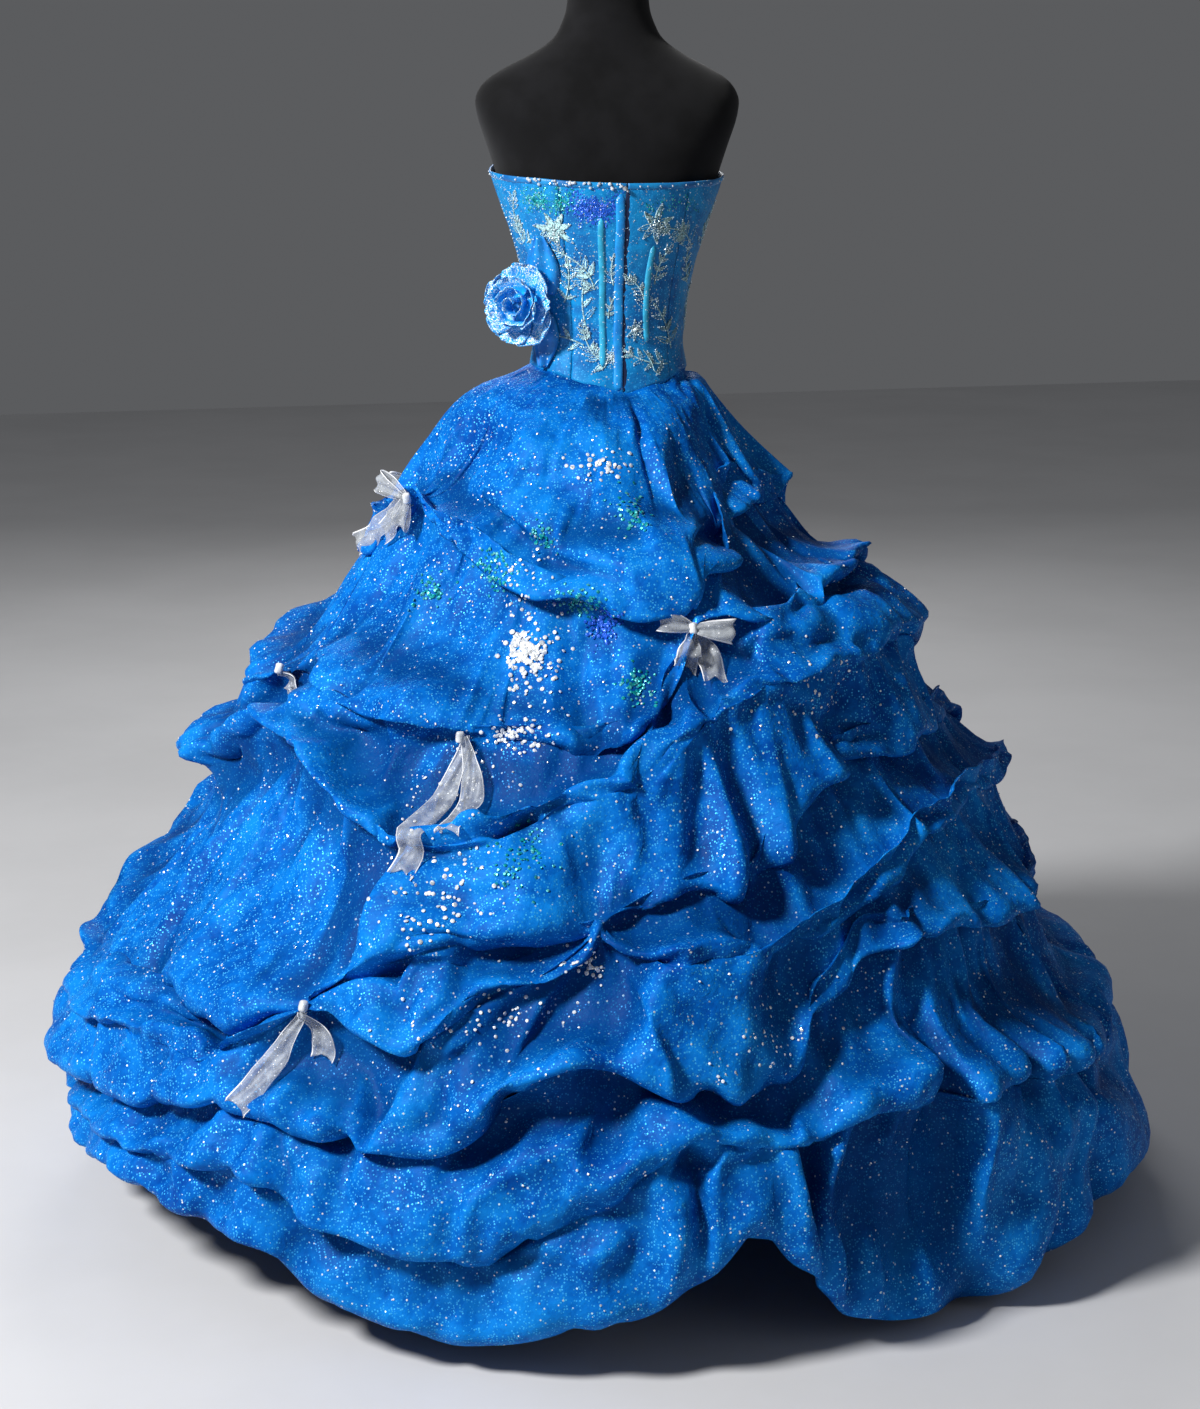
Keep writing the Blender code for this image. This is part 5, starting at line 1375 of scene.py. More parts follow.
def make_rosette():
    cloth = finish("rosette_satin", petal_finish)
    leaf = finish("leaf_satin", plain_satin_finish, (0.006, 0.300, 0.760),
                  (0.001, 0.130, 0.480), 0.34)
    # the heart is one strip rolled round itself, its upper edge ruffled
    turns = 2.4
    steps = 220
    rows = 10
    verts = []
    rim = []
    for r in range(rows + 1):
        v = r / rows
        for i in range(steps + 1):
            s = i / steps
            a = 2.0 * math.pi * turns * s + 0.6
            radius = 0.0055 + 0.0245 * s
            wave = (0.0022 * math.sin(5.0 * a) + 0.0012 * math.sin(11.0 * a)) * s
            flare = 0.0085 * s * (1.0 - v) ** 2
            rise = (0.024 - 0.009 * s) * (1.0 - v) + 0.0010 * math.sin(7.0 * a) * (1.0 - v)
            reach = radius + flare + wave * (1.0 - 0.6 * v)
            verts.append(rosette_at(reach * math.cos(a), reach * math.sin(a), rise))
            rim.append((1.0 - v) ** 1.5)
    heart = thin_piece("rosette_heart", verts, rim, steps, cloth, 0.0007)
    own(heart, ("rosette_rolled_strip",))
    area = mesh_area(heart) / PETAL_SIDES
    for name, node, direction, start, reach, half, *bends in ROSE_PETALS:
        rosette_petal(name, node, direction, start, reach * PETAL_GROWTH, half * PETAL_GROWTH,
                      *bends, cloth)
    rosette_leaf("leaf_upper", "rosette_leaf_up", (67.0, 1.222), (59.0, 1.298), 0.056, leaf)
    rosette_leaf("leaf_lower", "rosette_leaf_down", (70.0, 1.196), (66.0, 1.126), 0.048, leaf)


# ---------------------------------------------------------------- skirt
def spread(theta, z):
    """Radius of the skirt's outer envelope, for numbers or arrays."""
    table = np.array(SKIRT_SPREAD)[::-1]
    left, back, right, front = (np.interp(z, table[:, 0], table[:, i]) for i in (1, 2, 3, 4))
    s = np.sin(np.radians(theta))
    c = np.cos(np.radians(theta))
    return np.where(s > 0.0, left, right) * s * s + np.where(c > 0.0, back, front) * c * c


def spread_at(theta, z):
    """spread() at one place."""
    return float(spread(np.array([float(theta)]), np.array([z]))[0])


def metres_round(theta, z):
    """Metres round the skirt to one degree."""
    return math.radians(1.0) * spread_at(theta, z)


def degrees_from(theta, start):
    """Angle past a start, between -180 and 180."""
    return np.mod(theta - start + 180.0, 360.0) - 180.0


def pleat_push(theta, z):
    """How far the fanned pleats push the cloth in or out."""
    total = np.zeros(np.broadcast(theta, z).shape)
    for t0, z0, t1, z1, half, count, depth in PLEATS:
        along = (z0 - z) / (z0 - z1)
        middle = t0 + (t1 - t0) * along
        reach = 2.5 + half * np.clip(along, 0.0, 9.0)
        off = degrees_from(theta, middle) / reach
        inside = (along > 0.0) & (along < 1.25) & (np.abs(off) < 1.0)
        fade = (np.minimum(along * 4.0, 1.0) * np.minimum((1.25 - along) * 3.0, 1.0)
                * (1.0 - off * off))
        total += np.where(inside, depth * fade * np.cos(math.pi * count * off), 0.0)
    return total


def fold_push(theta, z):
    """How far the single folds push the cloth in (below zero) or out: a groove and its ridge."""
    total = np.zeros(theta.shape)
    for t0, z0, t1, z1, t2, z2, width, depth in FOLDS:
        steps = 48
        f = np.linspace(0.0, 1.0, steps)
        # the fold passes through its middle point
        tm = 2.0 * t1 - 0.5 * (t0 + t2)
        zm = 2.0 * z1 - 0.5 * (z0 + z2)
        line_t = (1 - f) ** 2 * t0 + 2 * f * (1 - f) * tm + f * f * t2
        line_z = (1 - f) ** 2 * z0 + 2 * f * (1 - f) * zm + f * f * z2
        metres = metres_round(t1, z1)
        across = degrees_from(theta, t1) * metres
        line_x = (line_t - t1) * metres
        near = ((z > line_z.min() - 0.05) & (z < line_z.max() + 0.05)
                & (across > line_x.min() - 0.05) & (across < line_x.max() + 0.05))
        if not near.any():
            continue
        x, h = across[near], z[near]
        way_x, way_z = np.gradient(line_x), np.gradient(line_z)
        size = np.hypot(way_x, way_z)
        way_x, way_z = way_x / size, way_z / size
        closest = np.full(x.shape, 9.0)
        side = np.zeros(x.shape)
        strength = np.zeros(x.shape)
        ends = np.minimum(1.0, np.minimum(f, 1.0 - f) * 4.0 + 0.12)
        for i in range(steps):
            dx, dz = x - line_x[i], h - line_z[i]
            away = dx * dx + dz * dz
            pick = away < closest
            closest = np.where(pick, away, closest)
            up = 1.0 if way_x[i] >= 0.0 else -1.0
            side = np.where(pick, up * (dz * way_x[i] - dx * way_z[i]), side)
            over = dx * way_x[i] + dz * way_z[i]
            strength = np.where(pick, ends[i] * np.exp(-(over / 0.015) ** 2), strength)
        reach = 0.75 * width
        groove = np.exp(-(side / reach) ** 2)
        ridge = np.exp(-((side - 1.5 * reach) / (1.15 * reach)) ** 2)
        total[near] += depth * FOLD_DEPTH * strength * (RIDGE_SHARE * ridge - groove)
    return total


def swag_edge(theta, k):
    edge, hang, depth = (ring_value(SWAGS[k], theta, c) for c in (1, 2, 3))
    return edge, np.maximum(hang * HANG_SHARE, LEAST_HANG), depth


def tier_profile(theta, k):
    """Five (radius, height) rows down one swag: tuck above, two on the puff, low edge, tuck."""
    if k == 0:
        z0 = ring_value(BODICE_EDGE, theta, 2) + 0.004
        r0 = form_radius(theta, z0) + WAIST_OFF_FORM
    else:
        edge, hang, depth = swag_edge(theta, k - 1)
        z0 = edge + hang
        r0 = spread(theta, z0) - depth
    edge, hang, depth = swag_edge(theta, k)
    soft = np.minimum(hang / 0.020, 1.0)
    turned_in = EDGE_IN if k < len(SWAGS) - 1 else HEM_IN
    r3 = spread(theta, edge) - depth * (1.0 - soft) - turned_in * soft
    z4 = edge + hang
    r4 = spread(theta, z4) - depth
    drop = z0 - edge
    z1 = z0 - 0.30 * drop
    z2 = z0 - PUFF_LEVEL * drop
    if k == 0:
        r1 = r0 + (spread(theta, z1) - r0) * 0.90
        z1 = z0 - 0.26 * drop
    else:
        r1 = 0.45 * r0 + 0.55 * (spread(theta, z1) - 0.004) + 0.004
    r2 = spread(theta, z2) + PUFF_OUT - 0.35 * depth * (1.0 - soft)
    rows = [(r0, z0), (r1, z1), (r2, z2), (edge * 0 + r3, edge), (r4, z4)]
    shares = (0.0, 0.8, 1.0, 0.8, 0.3)
    return [(r + pleat_push(theta, z) * share, z) for (r, z), share in zip(rows, shares)]


def skirt_grid(theta):
    """Grid of (radius, height) for every row and angle, and which rows are tucks."""
    keys = []
    for k in range(len(SWAGS)):
        rows = tier_profile(theta, k)
        keys += rows if k == len(SWAGS) - 1 else rows[:4]
    keys = np.array(keys).transpose(0, 2, 1)
    counts = []
    for k in range(len(SWAGS)):
        counts += FIRST_TIER_ROWS if k == 0 else TIER_ROWS
    rows = []
    tuck = []
    for i, count in enumerate(counts):
        p0, p1, p2 = keys[max(i - 1, 0)], keys[i], keys[i + 1]
        p3 = keys[min(i + 2, len(keys) - 1)]
        for j in range(count):
            t = j / count
            rows.append(0.5 * (2 * p1 + (p2 - p0) * t + (2 * p0 - 5 * p1 + 4 * p2 - p3) * t * t
                               + (3 * p1 - p0 - 3 * p2 + p3) * t ** 3))
            tuck.append(j == 0 and i % 4 == 0)
    rows.append(keys[-1])
    tuck.append(True)
    return np.array(rows), np.array(tuck)


def gathers():
    """Places where the cloth is picked up: wherever a swag barely hangs."""
    out = []
    for k in range(len(SWAGS) - 1):
        for theta, edge, hang, depth in SWAGS[k]:
            if hang <= GATHERED_HANG:
                z = edge + 0.006
                out.append(tuple(around(theta, spread_at(theta, z) - depth, z)))
    return np.array(out)


def settle(ob, rest, weights, dome, frames, spare):
    """Lets the cloth sag over the petticoat, then keeps the shape that it reached."""
    group = ob.vertex_groups.new(name="held")
    rounded = np.round(weights, 2)
    for value in np.unique(rounded):
        if value > 0.0:
            group.add(np.nonzero(rounded == value)[0].tolist(), float(value), "REPLACE")
    ob.shape_key_add(name="Basis")
    key = ob.shape_key_add(name="cut")
    key.data.foreach_set("co", rest.ravel())
    dome.modifiers.new("Petticoat", "COLLISION")
    dome.collision.thickness_outer = 0.003
    dome.collision.cloth_friction = 15.0
    modifier = ob.modifiers.new("Hanging", "CLOTH")
    for key, value in ORGANZA_CLOTH.items():
        setattr(modifier.settings, key, value)
    modifier.settings.vertex_group_mass = group.name
    modifier.settings.shrink_min = -spare
    modifier.settings.rest_shape_key = ob.data.shape_keys.key_blocks["cut"]
    for key, value in CLOTH_CONTACT.items():
        setattr(modifier.collision_settings, key, value)
    for step in range(1, frames + 1):
        bpy.context.scene.frame_set(step)
    mesh = bpy.data.meshes.new_from_object(evaluated(ob))
    places = points_of(mesh).ravel()
    bpy.data.meshes.remove(mesh)
    ob.modifiers.clear()
    ob.shape_key_clear()
    ob.data.vertices.foreach_set("co", places)
    ob.data.update()
    ob.vertex_groups.clear()
    bpy.context.scene.frame_set(1)


def petticoat():
    """Rough dome that the skirt rests on while it settles; it is removed afterwards."""
    steps = 120
    angles = np.linspace(0.0, 360.0, steps, endpoint=False)
    levels = np.linspace(1.12, -0.02, 60)
    rows = []
    for z in levels:
        level = np.full(steps, z)
        radius = np.maximum(spread(angles, level) - 0.066, 0.06)
        if z > 0.84:
            off_form = 0.004 if z < 1.04 else -0.006
            radius = np.maximum(radius, form_radius(angles, level) + off_form)
        rows.append(round_points(angles, radius, level))
    points = np.array(rows).reshape(-1, 3)
    mesh = bpy.data.meshes.new("petticoat")
    mesh.from_pydata(points.tolist(), [], grid_faces(len(levels), steps, closed=True))
    mesh.update()
    return link("petticoat", mesh)


def keep_near(places, rest, limit):
    """Holds every point within a limit of where it was cut."""
    moved = places - rest
    length = np.linalg.norm(moved, axis=1, keepdims=True)
    return rest + moved * np.minimum(1.0, limit / np.maximum(length, 1e-9))


def note_recess(skirt):
    """Notes how far each point lies behind the puffs around it, which the organza's finish turns into
    painted shade.
    """
    places = points_of(skirt.data)
    theta = np.mod(np.degrees(np.arctan2(places[:, 0], places[:, 1])), 360.0)
    radius = np.hypot(places[:, 0], places[:, 1])
    height = places[:, 2]
    steps_round, steps_up = 72, 40
    column = np.minimum((theta / 360.0 * steps_round).astype(int), steps_round - 1)
    row = np.clip((height / 1.15 * steps_up).astype(int), 0, steps_up - 1)
    outer = np.zeros((steps_round, steps_up))
    np.maximum.at(outer, (column, row), radius)
    wide = np.copy(outer)
    for i in (-1, 0, 1):
        for j in (0, 1, 2):
            moved = np.roll(outer, i, axis=0)
            moved[:, : steps_up - j] = moved[:, j:]
            wide = np.maximum(wide, moved)
    paint_points(skirt, "recess", np.clip(wide[column, row] - radius, 0.0, 0.2))


def clear_of_form(places):
    """Moves any point that lies in the dress form out to its bodice line."""
    theta = np.degrees(np.arctan2(places[:, 0], places[:, 1]))
    radius = np.hypot(places[:, 0], places[:, 1])
    skin = form_radius(theta, places[:, 2]) + WAIST_OFF_FORM
    least = np.where(places[:, 2] > 0.80, skin, 0.0)
    return places * np.stack([np.maximum(1.0, least / radius)] * 2 + [np.ones(len(places))], 1)


def make_skirt():
    size = sizes()
    theta = np.concatenate([
        np.linspace(BACK_FROM, BACK_TO, size.back_columns, endpoint=False),
        np.linspace(BACK_TO, BACK_FROM + 360.0, size.front_columns, endpoint=False)])
    rows, tuck = skirt_grid(theta)
    height = rows[:, :, 1]
    wide = np.broadcast_to(theta, height.shape)
    fade = np.clip((1.095 - height) / 0.03, 0.0, 1.0)    # no folds in the waist seam
    radius = rows[:, :, 0] + fold_push(wide, height) * fade
    count, cols = height.shape
    cut = round_points(wide, radius, height).reshape(-1, 3)
    start = cut.copy()
    weights = np.zeros(len(start))
    # the cloth is sewn down at the gathers and drawn in round them
    for spot in gathers():
        off = start - spot
        away = np.linalg.norm(off, axis=1)
        near = away < size.gather_reach
        pull = 1.0 - away[near] / size.gather_reach
        pull = pull * pull * (3.0 - 2.0 * pull) * size.gather_pull
        start[near] -= off[near] * pull[:, None] * np.array([1.0, 1.0, 0.7])
        weights[away < GATHER_SPOT] = 1.0
    # it is held at the waist, the hem and the tucks, and loosely in the yoke and at low edges
    weights = weights.reshape(count, cols)
    weights[:2] = 1.0
    weights[-2:] = 1.0
    weights[tuck] = 1.0
    yoke = sum(FIRST_TIER_ROWS[:2])
    hold = np.clip(1.0 - np.arange(yoke) / (0.75 * yoke), 0.0, 1.0)[:, None]
    weights[:yoke] = np.maximum(weights[:yoke], hold)
    held = EDGE_HOLD * ((theta < EDGE_HELD_TO) | (theta > EDGE_HELD_FROM))
    for k in range(len(SWAGS)):
        low_edge = sum(FIRST_TIER_ROWS[:3]) + k * sum(TIER_ROWS)
        weights[low_edge] = np.maximum(weights[low_edge], held)
    # a little unevenness, so that the spare cloth has somewhere to start its folds
    ripple = np.array([noise.noise(Vector(p) * 22.0) + 0.6 * noise.noise(Vector(p) * 47.0)
                       for p in cut])
    ways = cut * np.array([1.0, 1.0, 0.0])
    ways /= np.maximum(np.linalg.norm(ways, axis=1, keepdims=True), 1e-6)
    start += ways * (UNEVENNESS * ripple)[:, None]
    skirt = new_piece("skirt_cloth", start, grid_faces(count, cols, closed=True),
                      finish("skirt_organza", organza_finish))
    dome = petticoat()
    settle(skirt, cut, weights.ravel(), dome, size.settle_frames, size.spare_cloth)
    bpy.data.meshes.remove(dome.data)    # and the dome with it
    places = keep_near(points_of(skirt.data), cut, SETTLE_LIMIT)
    places[:, 2] = np.maximum(places[:, 2], SKIRT_LIFT)
    places = clear_of_form(places)
    skirt.data.vertices.foreach_set("co", places.ravel())
    skirt.data.update()
    note_recess(skirt)
    add_modifier(skirt, "SUBSURF", levels=1, render_levels=1)
    own(skirt, GORES)
    make_hem(skirt, count, cols)


def make_hem(skirt, count, cols):
    """Narrow rolled hem sewn to the skirt's lowest row."""
    path = [skirt.data.vertices[(count - 1) * cols + j].co.copy() for j in range(cols)]
    ring = []
    sides = 6
    for i, p in enumerate(path):
        way = (path[(i + 1) % cols] - path[i - 1]).normalized()
        side = way.cross(Vector((0.0, 0.0, 1.0))).normalized()
        up = side.cross(way)
        ring += [p + side * 0.0016 * c + up * 0.0022 * s for c, s in circle(sides)]
    faces = []
    for i in range(cols):
        for j in range(sides):
            k = (j + 1) % sides
            m = (i + 1) % cols
            faces.append((i * sides + j, m * sides + j, m * sides + k, i * sides + k))
    hem = new_piece("skirt_rolled_hem", ring, faces, FINISHES["skirt_organza"], closed=True)
    own(hem, ())


# ---------------------------------------------------------------- sequins
def skirt_tree():
    mesh = evaluated(bpy.data.objects["skirt_cloth"]).data
    return BVHTree.FromPolygons([v.co.copy() for v in mesh.vertices],
                                [tuple(p.vertices) for p in mesh.polygons])


def on_skirt(tree, theta, z, lift=0.0):
    """Outermost point of the skirt at an angle and height, and its facing."""
    way = around(theta, 1.0, 0.0)
    place, facing, _, _ = tree.ray_cast(around(theta, 1.6, z), -way, 1.58)
    if place is None:
        place, facing, _, _ = tree.find_nearest(around(theta, 0.5, z))
    if facing.dot(way) < 0.0:
        facing = -facing
    return place + facing * lift, facing


# middle angle and height, reach round and up in metres, number, kind, size
SEQUIN_CLUSTERS = (
    (30, 0.806, 0.030, 0.022, 150, "white", 1.30),
    (27, 0.790, 0.050, 0.045, 60, "white", 1.00),
    (28, 0.717, 0.060, 0.020, 70, "white", 1.00),
    (16, 1.016, 0.045, 0.016, 34, "white", 1.10),
    (33, 0.547, 0.060, 0.040, 60, "white", 1.05),
    (17, 0.488, 0.030, 0.022, 34, "white", 1.00),
    (32, 0.880, 0.050, 0.050, 46, "white", 0.85),
    (38, 0.640, 0.080, 0.060, 60, "white", 0.85),
    (26, 0.430, 0.120, 0.050, 60, "white", 0.80),
    (-2, 0.400, 0.100, 0.060, 40, "white", 0.75),
    (-20, 0.760, 0.080, 0.060, 36, "white", 0.75),
    (8, 0.969, 0.024, 0.020, 60, "teal", 0.9),
    (19, 0.868, 0.034, 0.022, 90, "teal", 0.9),
    (9, 0.773, 0.026, 0.020, 70, "teal", 0.9),
    (40, 0.894, 0.034, 0.026, 90, "teal", 0.9),
    (57, 0.860, 0.028, 0.020, 50, "teal", 0.9),
    (30, 0.935, 0.030, 0.016, 50, "teal", 0.8),
    (24, 0.600, 0.040, 0.030, 80, "teal", 0.8),
    (15, 0.836, 0.026, 0.022, 110, "royal", 0.9),
    (134, 0.800, 0.060, 0.050, 90, "white", 1.0),
    (188, 0.600, 0.070, 0.050, 90, "white", 1.0),
    (212, 0.820, 0.060, 0.050, 80, "white", 1.0),
    (244, 0.560, 0.060, 0.050, 80, "white", 1.0),
    (160, 0.860, 0.040, 0.030, 80, "teal", 0.9),
    (200, 0.700, 0.040, 0.030, 80, "royal", 0.9),
    (230, 0.880, 0.040, 0.030, 80, "teal", 0.9),
)
LOOSE_SEQUINS = 2600
# sequin patches of the bodice: angles, heights, number, kind, size
BODICE_SEQUINS = (
    (32, 70, 1.324, 1.364, 380, "teal", 0.60),
    (3, 42, 1.308, 1.366, 800, "royal", 0.62),
    (8, 36, 1.324, 1.356, 26, "white", 0.45),
    (44, 74, 1.200, 1.300, 60, "teal", 0.50),
    (-66, -8, 1.325, 1.350, 90, "teal", 0.50),
    (120, 240, 1.330, 1.360, 160, "royal", 0.55),
)


def make_sequins():
    size = sizes()
    tint = colours()
    tree = skirt_tree()
    rng = np.random.default_rng(21)
    spots = {"white": [], "teal": [], "royal": []}
    for theta, z, reach_round, reach_up, number, kind, scale in SEQUIN_CLUSTERS:
        metres = metres_round(theta, z)
        for _ in range(number):
            t = theta + rng.normal(0.0, 0.5) * reach_round / metres
            h = z + rng.normal(0.0, 0.5) * reach_up
            place, facing = on_skirt(tree, t, h, 0.0010)
            facing = (facing + Vector(rng.normal(0.0, 0.22, 3))).normalized()
            spots[kind].append((place, facing, scale * (0.7 + 0.5 * rng.random())))
    # loose ones all over, thinner towards the hem
    for _ in range(LOOSE_SEQUINS):
        z = 0.06 + 1.0 * rng.random() ** 0.8
        theta = rng.uniform(0.0, 360.0)
        place, facing = on_skirt(tree, theta, z, 0.0008)
        facing = (facing + Vector(rng.normal(0.0, 0.30, 3))).normalized()
        spots["white"].append((place, facing, 0.32 + 0.30 * rng.random()))
    for t0, t1, z0, z1, number, kind, scale in BODICE_SEQUINS:
        for _ in range(number):
            theta = rng.triangular(t0, 0.5 * (t0 + t1), t1)
            z = rng.triangular(z0, 0.5 * (z0 + z1), z1)
            facing = (around(theta, 1.0, 0.0) + Vector(rng.normal(0.0, 0.25, 3))).normalized()
            spots[kind].append((on_bodice(theta, z, 0.0008), facing,
                                scale * (0.8 + 0.4 * rng.random())))
    covers = {"white": (tint.sequin_white, 0.10, 0.25, 0.6),
              "teal": (tint.sequin_teal, 0.22, 0.35, 0.12),
              "royal": (tint.sequin_royal, 0.24, 0.30, 0.05)}
    for kind, places in spots.items():
        cover = finish("sequin_" + kind, bead_finish, *covers[kind])
        own(sew_on("sequins_" + kind, "sequin", places, size.sequin_radius, cover, 0.2, 5),
            ())


# ---------------------------------------------------------------- bows
# name, angle, height, loops (left reach, left rise, right reach, right rise), tails as
# (along, down) pairs, lengths in millimetres; no loops means that only the tails show
BOWS = (
    ("bow_hip_left", 74.0, 972, (44, 22, -20, -38), ((110, -86), (48, -62))),
    ("bow_centre_back", -2.5, 838, (40, 12, 50, -4), ((26, -50), (-16, -62))),
    ("bow_swag_left", 36.0, 716, (), ((22, -140), (-26, -92))),
    ("bow_side_left", 82.5, 736, (), ((20, -36), (-10, -30))),
    ("bow_low_left", 46.0, 416, (), ((62, -118), (-22, -62))),
    ("bow_front_left", 134.0, 944, (44, 14, 44, 8), ((30, -85), (-26, -70))),
    ("bow_front_right", 212.0, 924, (44, 10, 44, 14), ((26, -75), (-30, -90))),
    ("bow_front_centre", 188.0, 729, (42, 12, 42, 8), ((20, -90), (-30, -80))),
    ("bow_side_right", 244.0, 732, (42, 8, 42, 14), ((26, -80), (-26, -90))),
)


def ribbon(name, spine, across, halves, facing, cloth, replaced, length, notch=False):
    """Ribbon along a spine: points across it, a soft ripple and a denser woven edge."""
    cols = 10
    rows = len(spine)
    verts = []
    rim = []
    for i, (p, side, half, out) in enumerate(zip(spine, across, halves, facing)):
        for j in range(cols + 1):
            g = 2.0 * j / cols - 1.0
            ripple = (0.0020 * math.sin(g * 5.0 + i * 0.35)
                      + 0.0012 * noise.noise(p * 60.0 + side * g * 2.0))
            spot = p + side * (half * g) + out * ripple
            if notch and i >= rows - 3:
                cutback = (1.0 - abs(g)) * 0.010 * (i - rows + 3) / 2.0
                spot = spot - (spine[i] - spine[i - 1]).normalized() * cutback
            verts.append(spot)
            rim.append(abs(g))
    piece = thin_piece(name, verts, rim, cols, cloth, 0.0005)
    own(piece, replaced)


def ribbon_length(spine):
    """Length of the ribbon along its spine, with a little for its ripple."""
    return sum((b - a).length for a, b in zip(spine, spine[1:])) * 1.02


def directions(path):
    """The way that a path runs at each of its points."""
    last = len(path) - 1
    return [(path[min(i + 1, last)] - path[max(i - 1, 0)]).normalized() for i in range(last + 1)]


def hang_tail(tree, name, n, theta, z, radius, run, fall, cloth):
    """Tail of a bow: it floats from the knot and never dips into the cloth."""
    outwards = around(theta, 1.0, 0.0)
    half_full = sizes().ribbon_width / 2.0
    count = 22
    centres = []
    for i in range(count + 1):
        f = i / count
        sway = 0.006 * math.sin(f * 5.0 + n * 2.0)
        t = theta + math.degrees((run * f + sway * f) / radius)
        place, _ = on_skirt(tree, t, z + fall * f)
        stand = 0.006 * (1.0 - f) + 0.0035 + 0.004 * n + 0.003 * math.sin(f * 6.0 + n) ** 2
        centres.append(place + around(theta, stand, 0.0))
    for _ in range(3):
        eased = [centres[0]]
        for a, b, c in zip(centres, centres[1:], centres[2:]):
            smooth = a * 0.25 + b * 0.5 + c * 0.25
            eased.append(b if Vector(smooth[:2]).length < Vector(b[:2]).length else smooth)
        centres = eased + [centres[-1]]
    ways = directions(centres)
    outs = [(outwards - w * outwards.dot(w)).normalized() for w in ways]
    sides = [o.cross(w).normalized() for o, w in zip(outs, ways)]
    halves = [half_full * (0.22 + 0.72 * min(1.0, 1.9 * i / count)) for i in range(count + 1)]
    ribbon(f"{name}_tail_{n + 1}", centres, sides, halves, outs, cloth,
           (name + "_tails",) if n == 0 else (), ribbon_length(centres), True)


def tie_loop(name, n, knot, out, run, span, cloth):
    """Loop of a bow, from the knot along a run and back."""
    half_full = sizes().ribbon_width / 2.0
    way = run.normalized()
    side = out.cross(way).normalized()
    spine = []
    halves = []
    count = 30
    for i in range(count + 1):
        a = 2.0 * math.pi * i / count
        f = 0.5 - 0.5 * math.cos(a)
        depth = 0.0075 * math.sin(a) * (0.4 + 0.6 * f)
        spine.append(knot + way * (span * f) + out * (0.010 - depth + 0.004 * f))
        halves.append(half_full * (0.20 + 0.74 * f ** 0.6))
    outs = [w.cross(side).normalized() for w in directions(spine)]
    ribbon(f"{name}_loop_{n + 1}", spine, [side] * (count + 1), halves, outs, cloth,
           (name + "_loops",) if n == 0 else (), ribbon_length(spine))


def wrap_knot(name, replaced, knot, out, along, up, cloth):
    """Knot of a bow: a short soft band wrapped round its middle."""
    rows, cols = 18, 14
    verts = []
    for i in range(rows + 1):
        v = 2.0 * i / rows - 1.0
        for j in range(cols):
            a = 2.0 * math.pi * j / cols
            swell = math.sqrt(max(0.0, 1.0 - v ** 6)) * (1.0 + 0.10 * math.sin(4.0 * a + v * 2.0))
            verts.append(knot + out * (0.0105 + 0.0055 * math.sin(a) * swell)
                         + along * (0.0052 * math.cos(a) * swell) + up * (0.0075 * v))
    middle = new_piece(name + "_knot_wrapped", verts, tube_faces(rows + 1, cols), cloth,
                       closed=True)
    own(middle, replaced)


def make_bow(tree, name, theta, z, loops, tails, cloth, knot_cloth):
    knot, facing = on_skirt(tree, theta, z, 0.007)
    out = (facing + around(theta, 0.8, 0.3)).normalized()
    along = Vector((0.0, 0.0, 1.0)).cross(out).normalized()
    if along.dot(around(theta + 90.0, 1.0, 0.0)) < 0.0:
        along = -along
    up = out.cross(along).normalized()
    up = up if up.z > 0.0 else -up
    for n, (run, fall) in enumerate(tails):
        hang_tail(tree, name, n, theta, z, Vector(knot[:2]).length, run, fall, cloth)
    for n, sign in enumerate((1.0, -1.0) if loops else ()):
        reach, rise = loops[2 * n:2 * n + 2]
        tie_loop(name, n, knot, out, along * sign * reach + up * rise, math.hypot(reach, rise),
                 cloth)
    wrap_knot(name, (name + "_knot",) if loops else (), knot, out, along, up, knot_cloth)


def make_bows():
    tint = colours()
    cloth = finish("bow_organza", ribbon_finish)
    knot = finish("bow_knot", plain_satin_finish, tint.ribbon_edge, tint.ribbon, 0.4)
    tree = skirt_tree()
    for name, theta, height, loops, tails in BOWS:
        make_bow(tree, name, theta, height / 1000.0, in_metres([loops], ())[0],
                 in_metres(tails, ()), cloth, knot)


# ---------------------------------------------------------------- operators
class GOWN_OT_stage(bpy.types.Operator):
    """Set up the camera, the soft studio light and the pale floor"""
    bl_idname = "gown.stage"
    bl_label = "Stage"
    bl_options = {"REGISTER", "UNDO"}

    def execute(self, context):
        make_stage()
        return {"FINISHED"}


class GOWN_OT_form(bpy.types.Operator):
    """Cover the dress form and paint its stand"""
    bl_idname = "gown.form"
    bl_label = "Dress form"
    bl_options = {"REGISTER", "UNDO"}

    def execute(self, context):
        make_form()
        return {"FINISHED"}


class GOWN_OT_bodice(bpy.types.Operator):
    """Cut the seven bodice panels"""
    bl_idname = "gown.bodice"
    bl_label = "Bodice"
    bl_options = {"REGISTER", "UNDO"}

    def execute(self, context):
        make_bodice()
        return {"FINISHED"}


class GOWN_OT_trims(bpy.types.Operator):
    """Bind the top edge and sew on placket, boning and crystals"""
    bl_idname = "gown.trims"
    bl_label = "Bodice trims"
    bl_options = {"REGISTER", "UNDO"}

    def execute(self, context):
        make_trims()
        return {"FINISHED"}


class GOWN_OT_lace(bpy.types.Operator):
    """Sew the beaded lace motifs onto the bodice"""
    bl_idname = "gown.lace"
    bl_label = "Lace"
    bl_options = {"REGISTER", "UNDO"}

    def execute(self, context):
        make_lace()
        return {"FINISHED"}


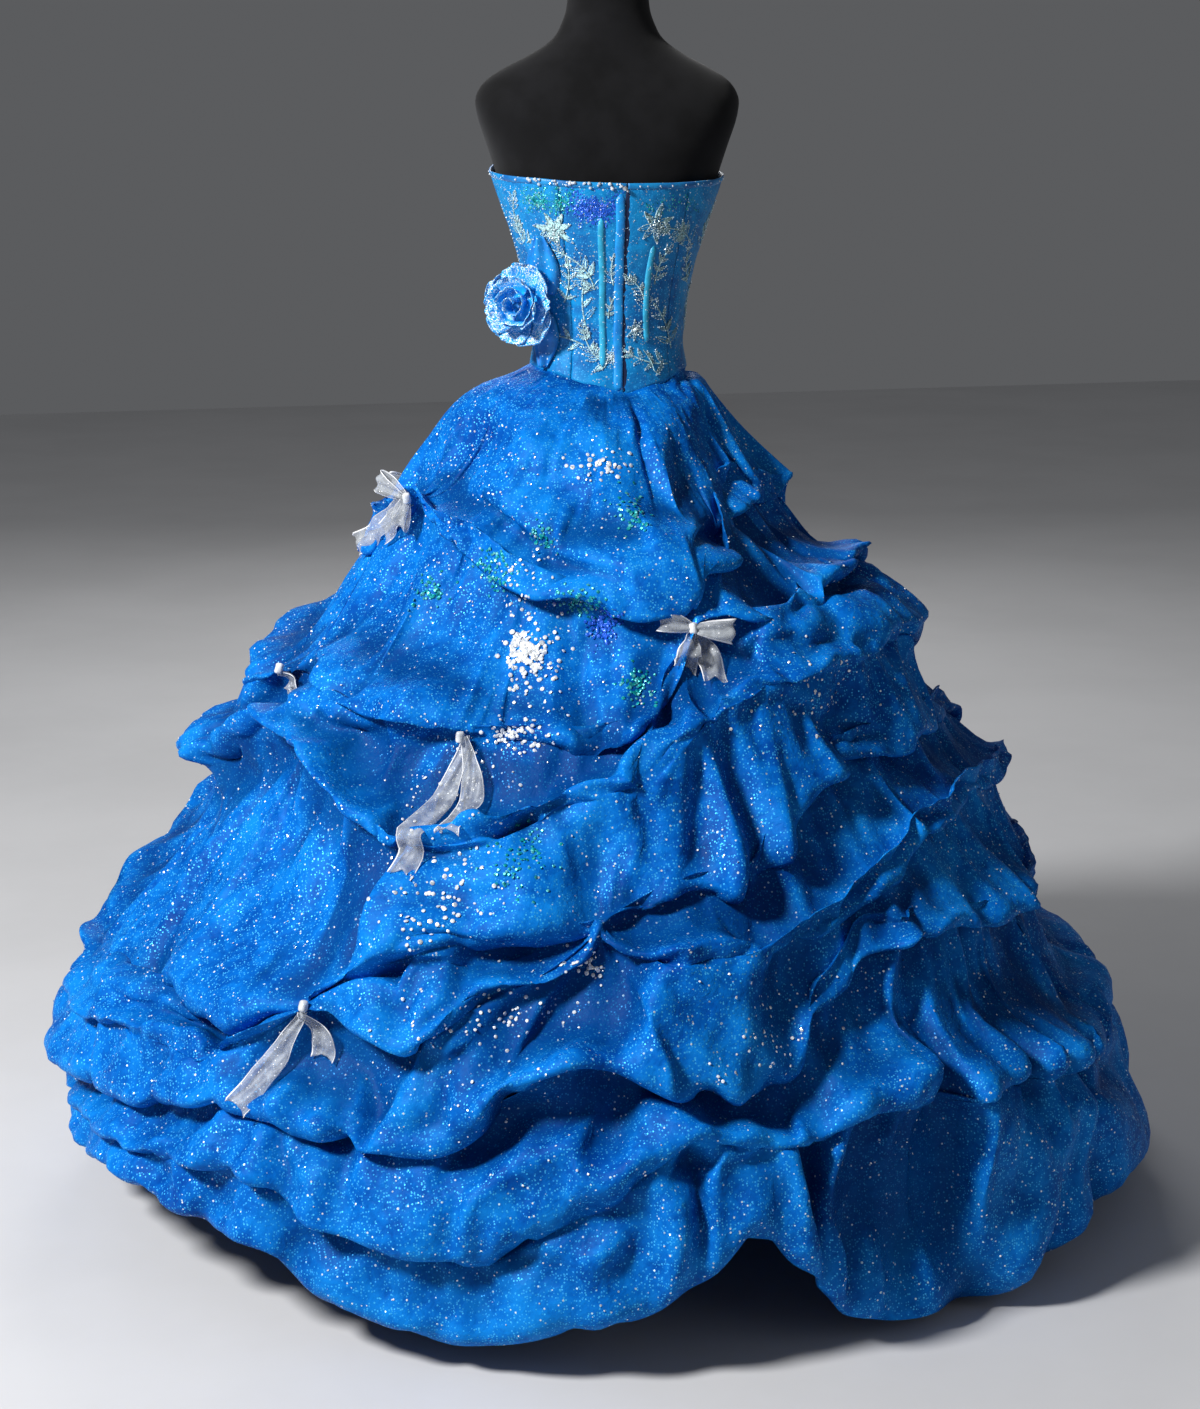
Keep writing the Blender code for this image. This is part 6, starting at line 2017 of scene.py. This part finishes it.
class GOWN_OT_rosette(bpy.types.Operator):
    """Roll the rosette and its leaves"""
    bl_idname = "gown.rosette"
    bl_label = "Rosette"
    bl_options = {"REGISTER", "UNDO"}

    def execute(self, context):
        make_rosette()
        return {"FINISHED"}


class GOWN_OT_skirt(bpy.types.Operator):
    """Hang the picked-up skirt and roll its hem"""
    bl_idname = "gown.skirt"
    bl_label = "Skirt"
    bl_options = {"REGISTER", "UNDO"}

    def execute(self, context):
        make_skirt()
        return {"FINISHED"}


class GOWN_OT_sequins(bpy.types.Operator):
    """Sew the sequins onto skirt and bodice"""
    bl_idname = "gown.sequins"
    bl_label = "Sequins"
    bl_options = {"REGISTER", "UNDO"}

    def execute(self, context):
        make_sequins()
        return {"FINISHED"}


class GOWN_OT_bows(bpy.types.Operator):
    """Tie the organza bows at the gathers"""
    bl_idname = "gown.bows"
    bl_label = "Bows"
    bl_options = {"REGISTER", "UNDO"}

    def execute(self, context):
        make_bows()
        return {"FINISHED"}


STEPS = (GOWN_OT_stage, GOWN_OT_form, GOWN_OT_bodice, GOWN_OT_trims, GOWN_OT_lace,
         GOWN_OT_rosette, GOWN_OT_skirt, GOWN_OT_sequins, GOWN_OT_bows)


class GOWN_PT_workroom(bpy.types.Panel):
    """Lists the steps of sewing the gown"""
    bl_idname = "GOWN_PT_workroom"
    bl_label = "Ball gown"
    bl_space_type = "VIEW_3D"
    bl_region_type = "UI"
    bl_category = "Gown"

    def draw(self, context):
        for group in (sizes(), colours()):
            box = self.layout.box()
            for key in group.__annotations__:
                box.prop(group, key)
        for operator in STEPS:
            self.layout.operator(operator.bl_idname)


CLASSES = (GownSizes, GownColours, *STEPS, GOWN_PT_workroom)


def register():
    for cls in CLASSES:
        bpy.utils.register_class(cls)
    bpy.types.Scene.gown_sizes = PointerProperty(type=GownSizes)
    bpy.types.Scene.gown_colours = PointerProperty(type=GownColours)


def unregister():
    del bpy.types.Scene.gown_colours
    del bpy.types.Scene.gown_sizes
    for cls in reversed(CLASSES):
        bpy.utils.unregister_class(cls)


def main():
    register()
    for operator in STEPS:
        getattr(bpy.ops.gown, operator.bl_idname.split(".")[1])()


if __name__ == "__main__":
    main()
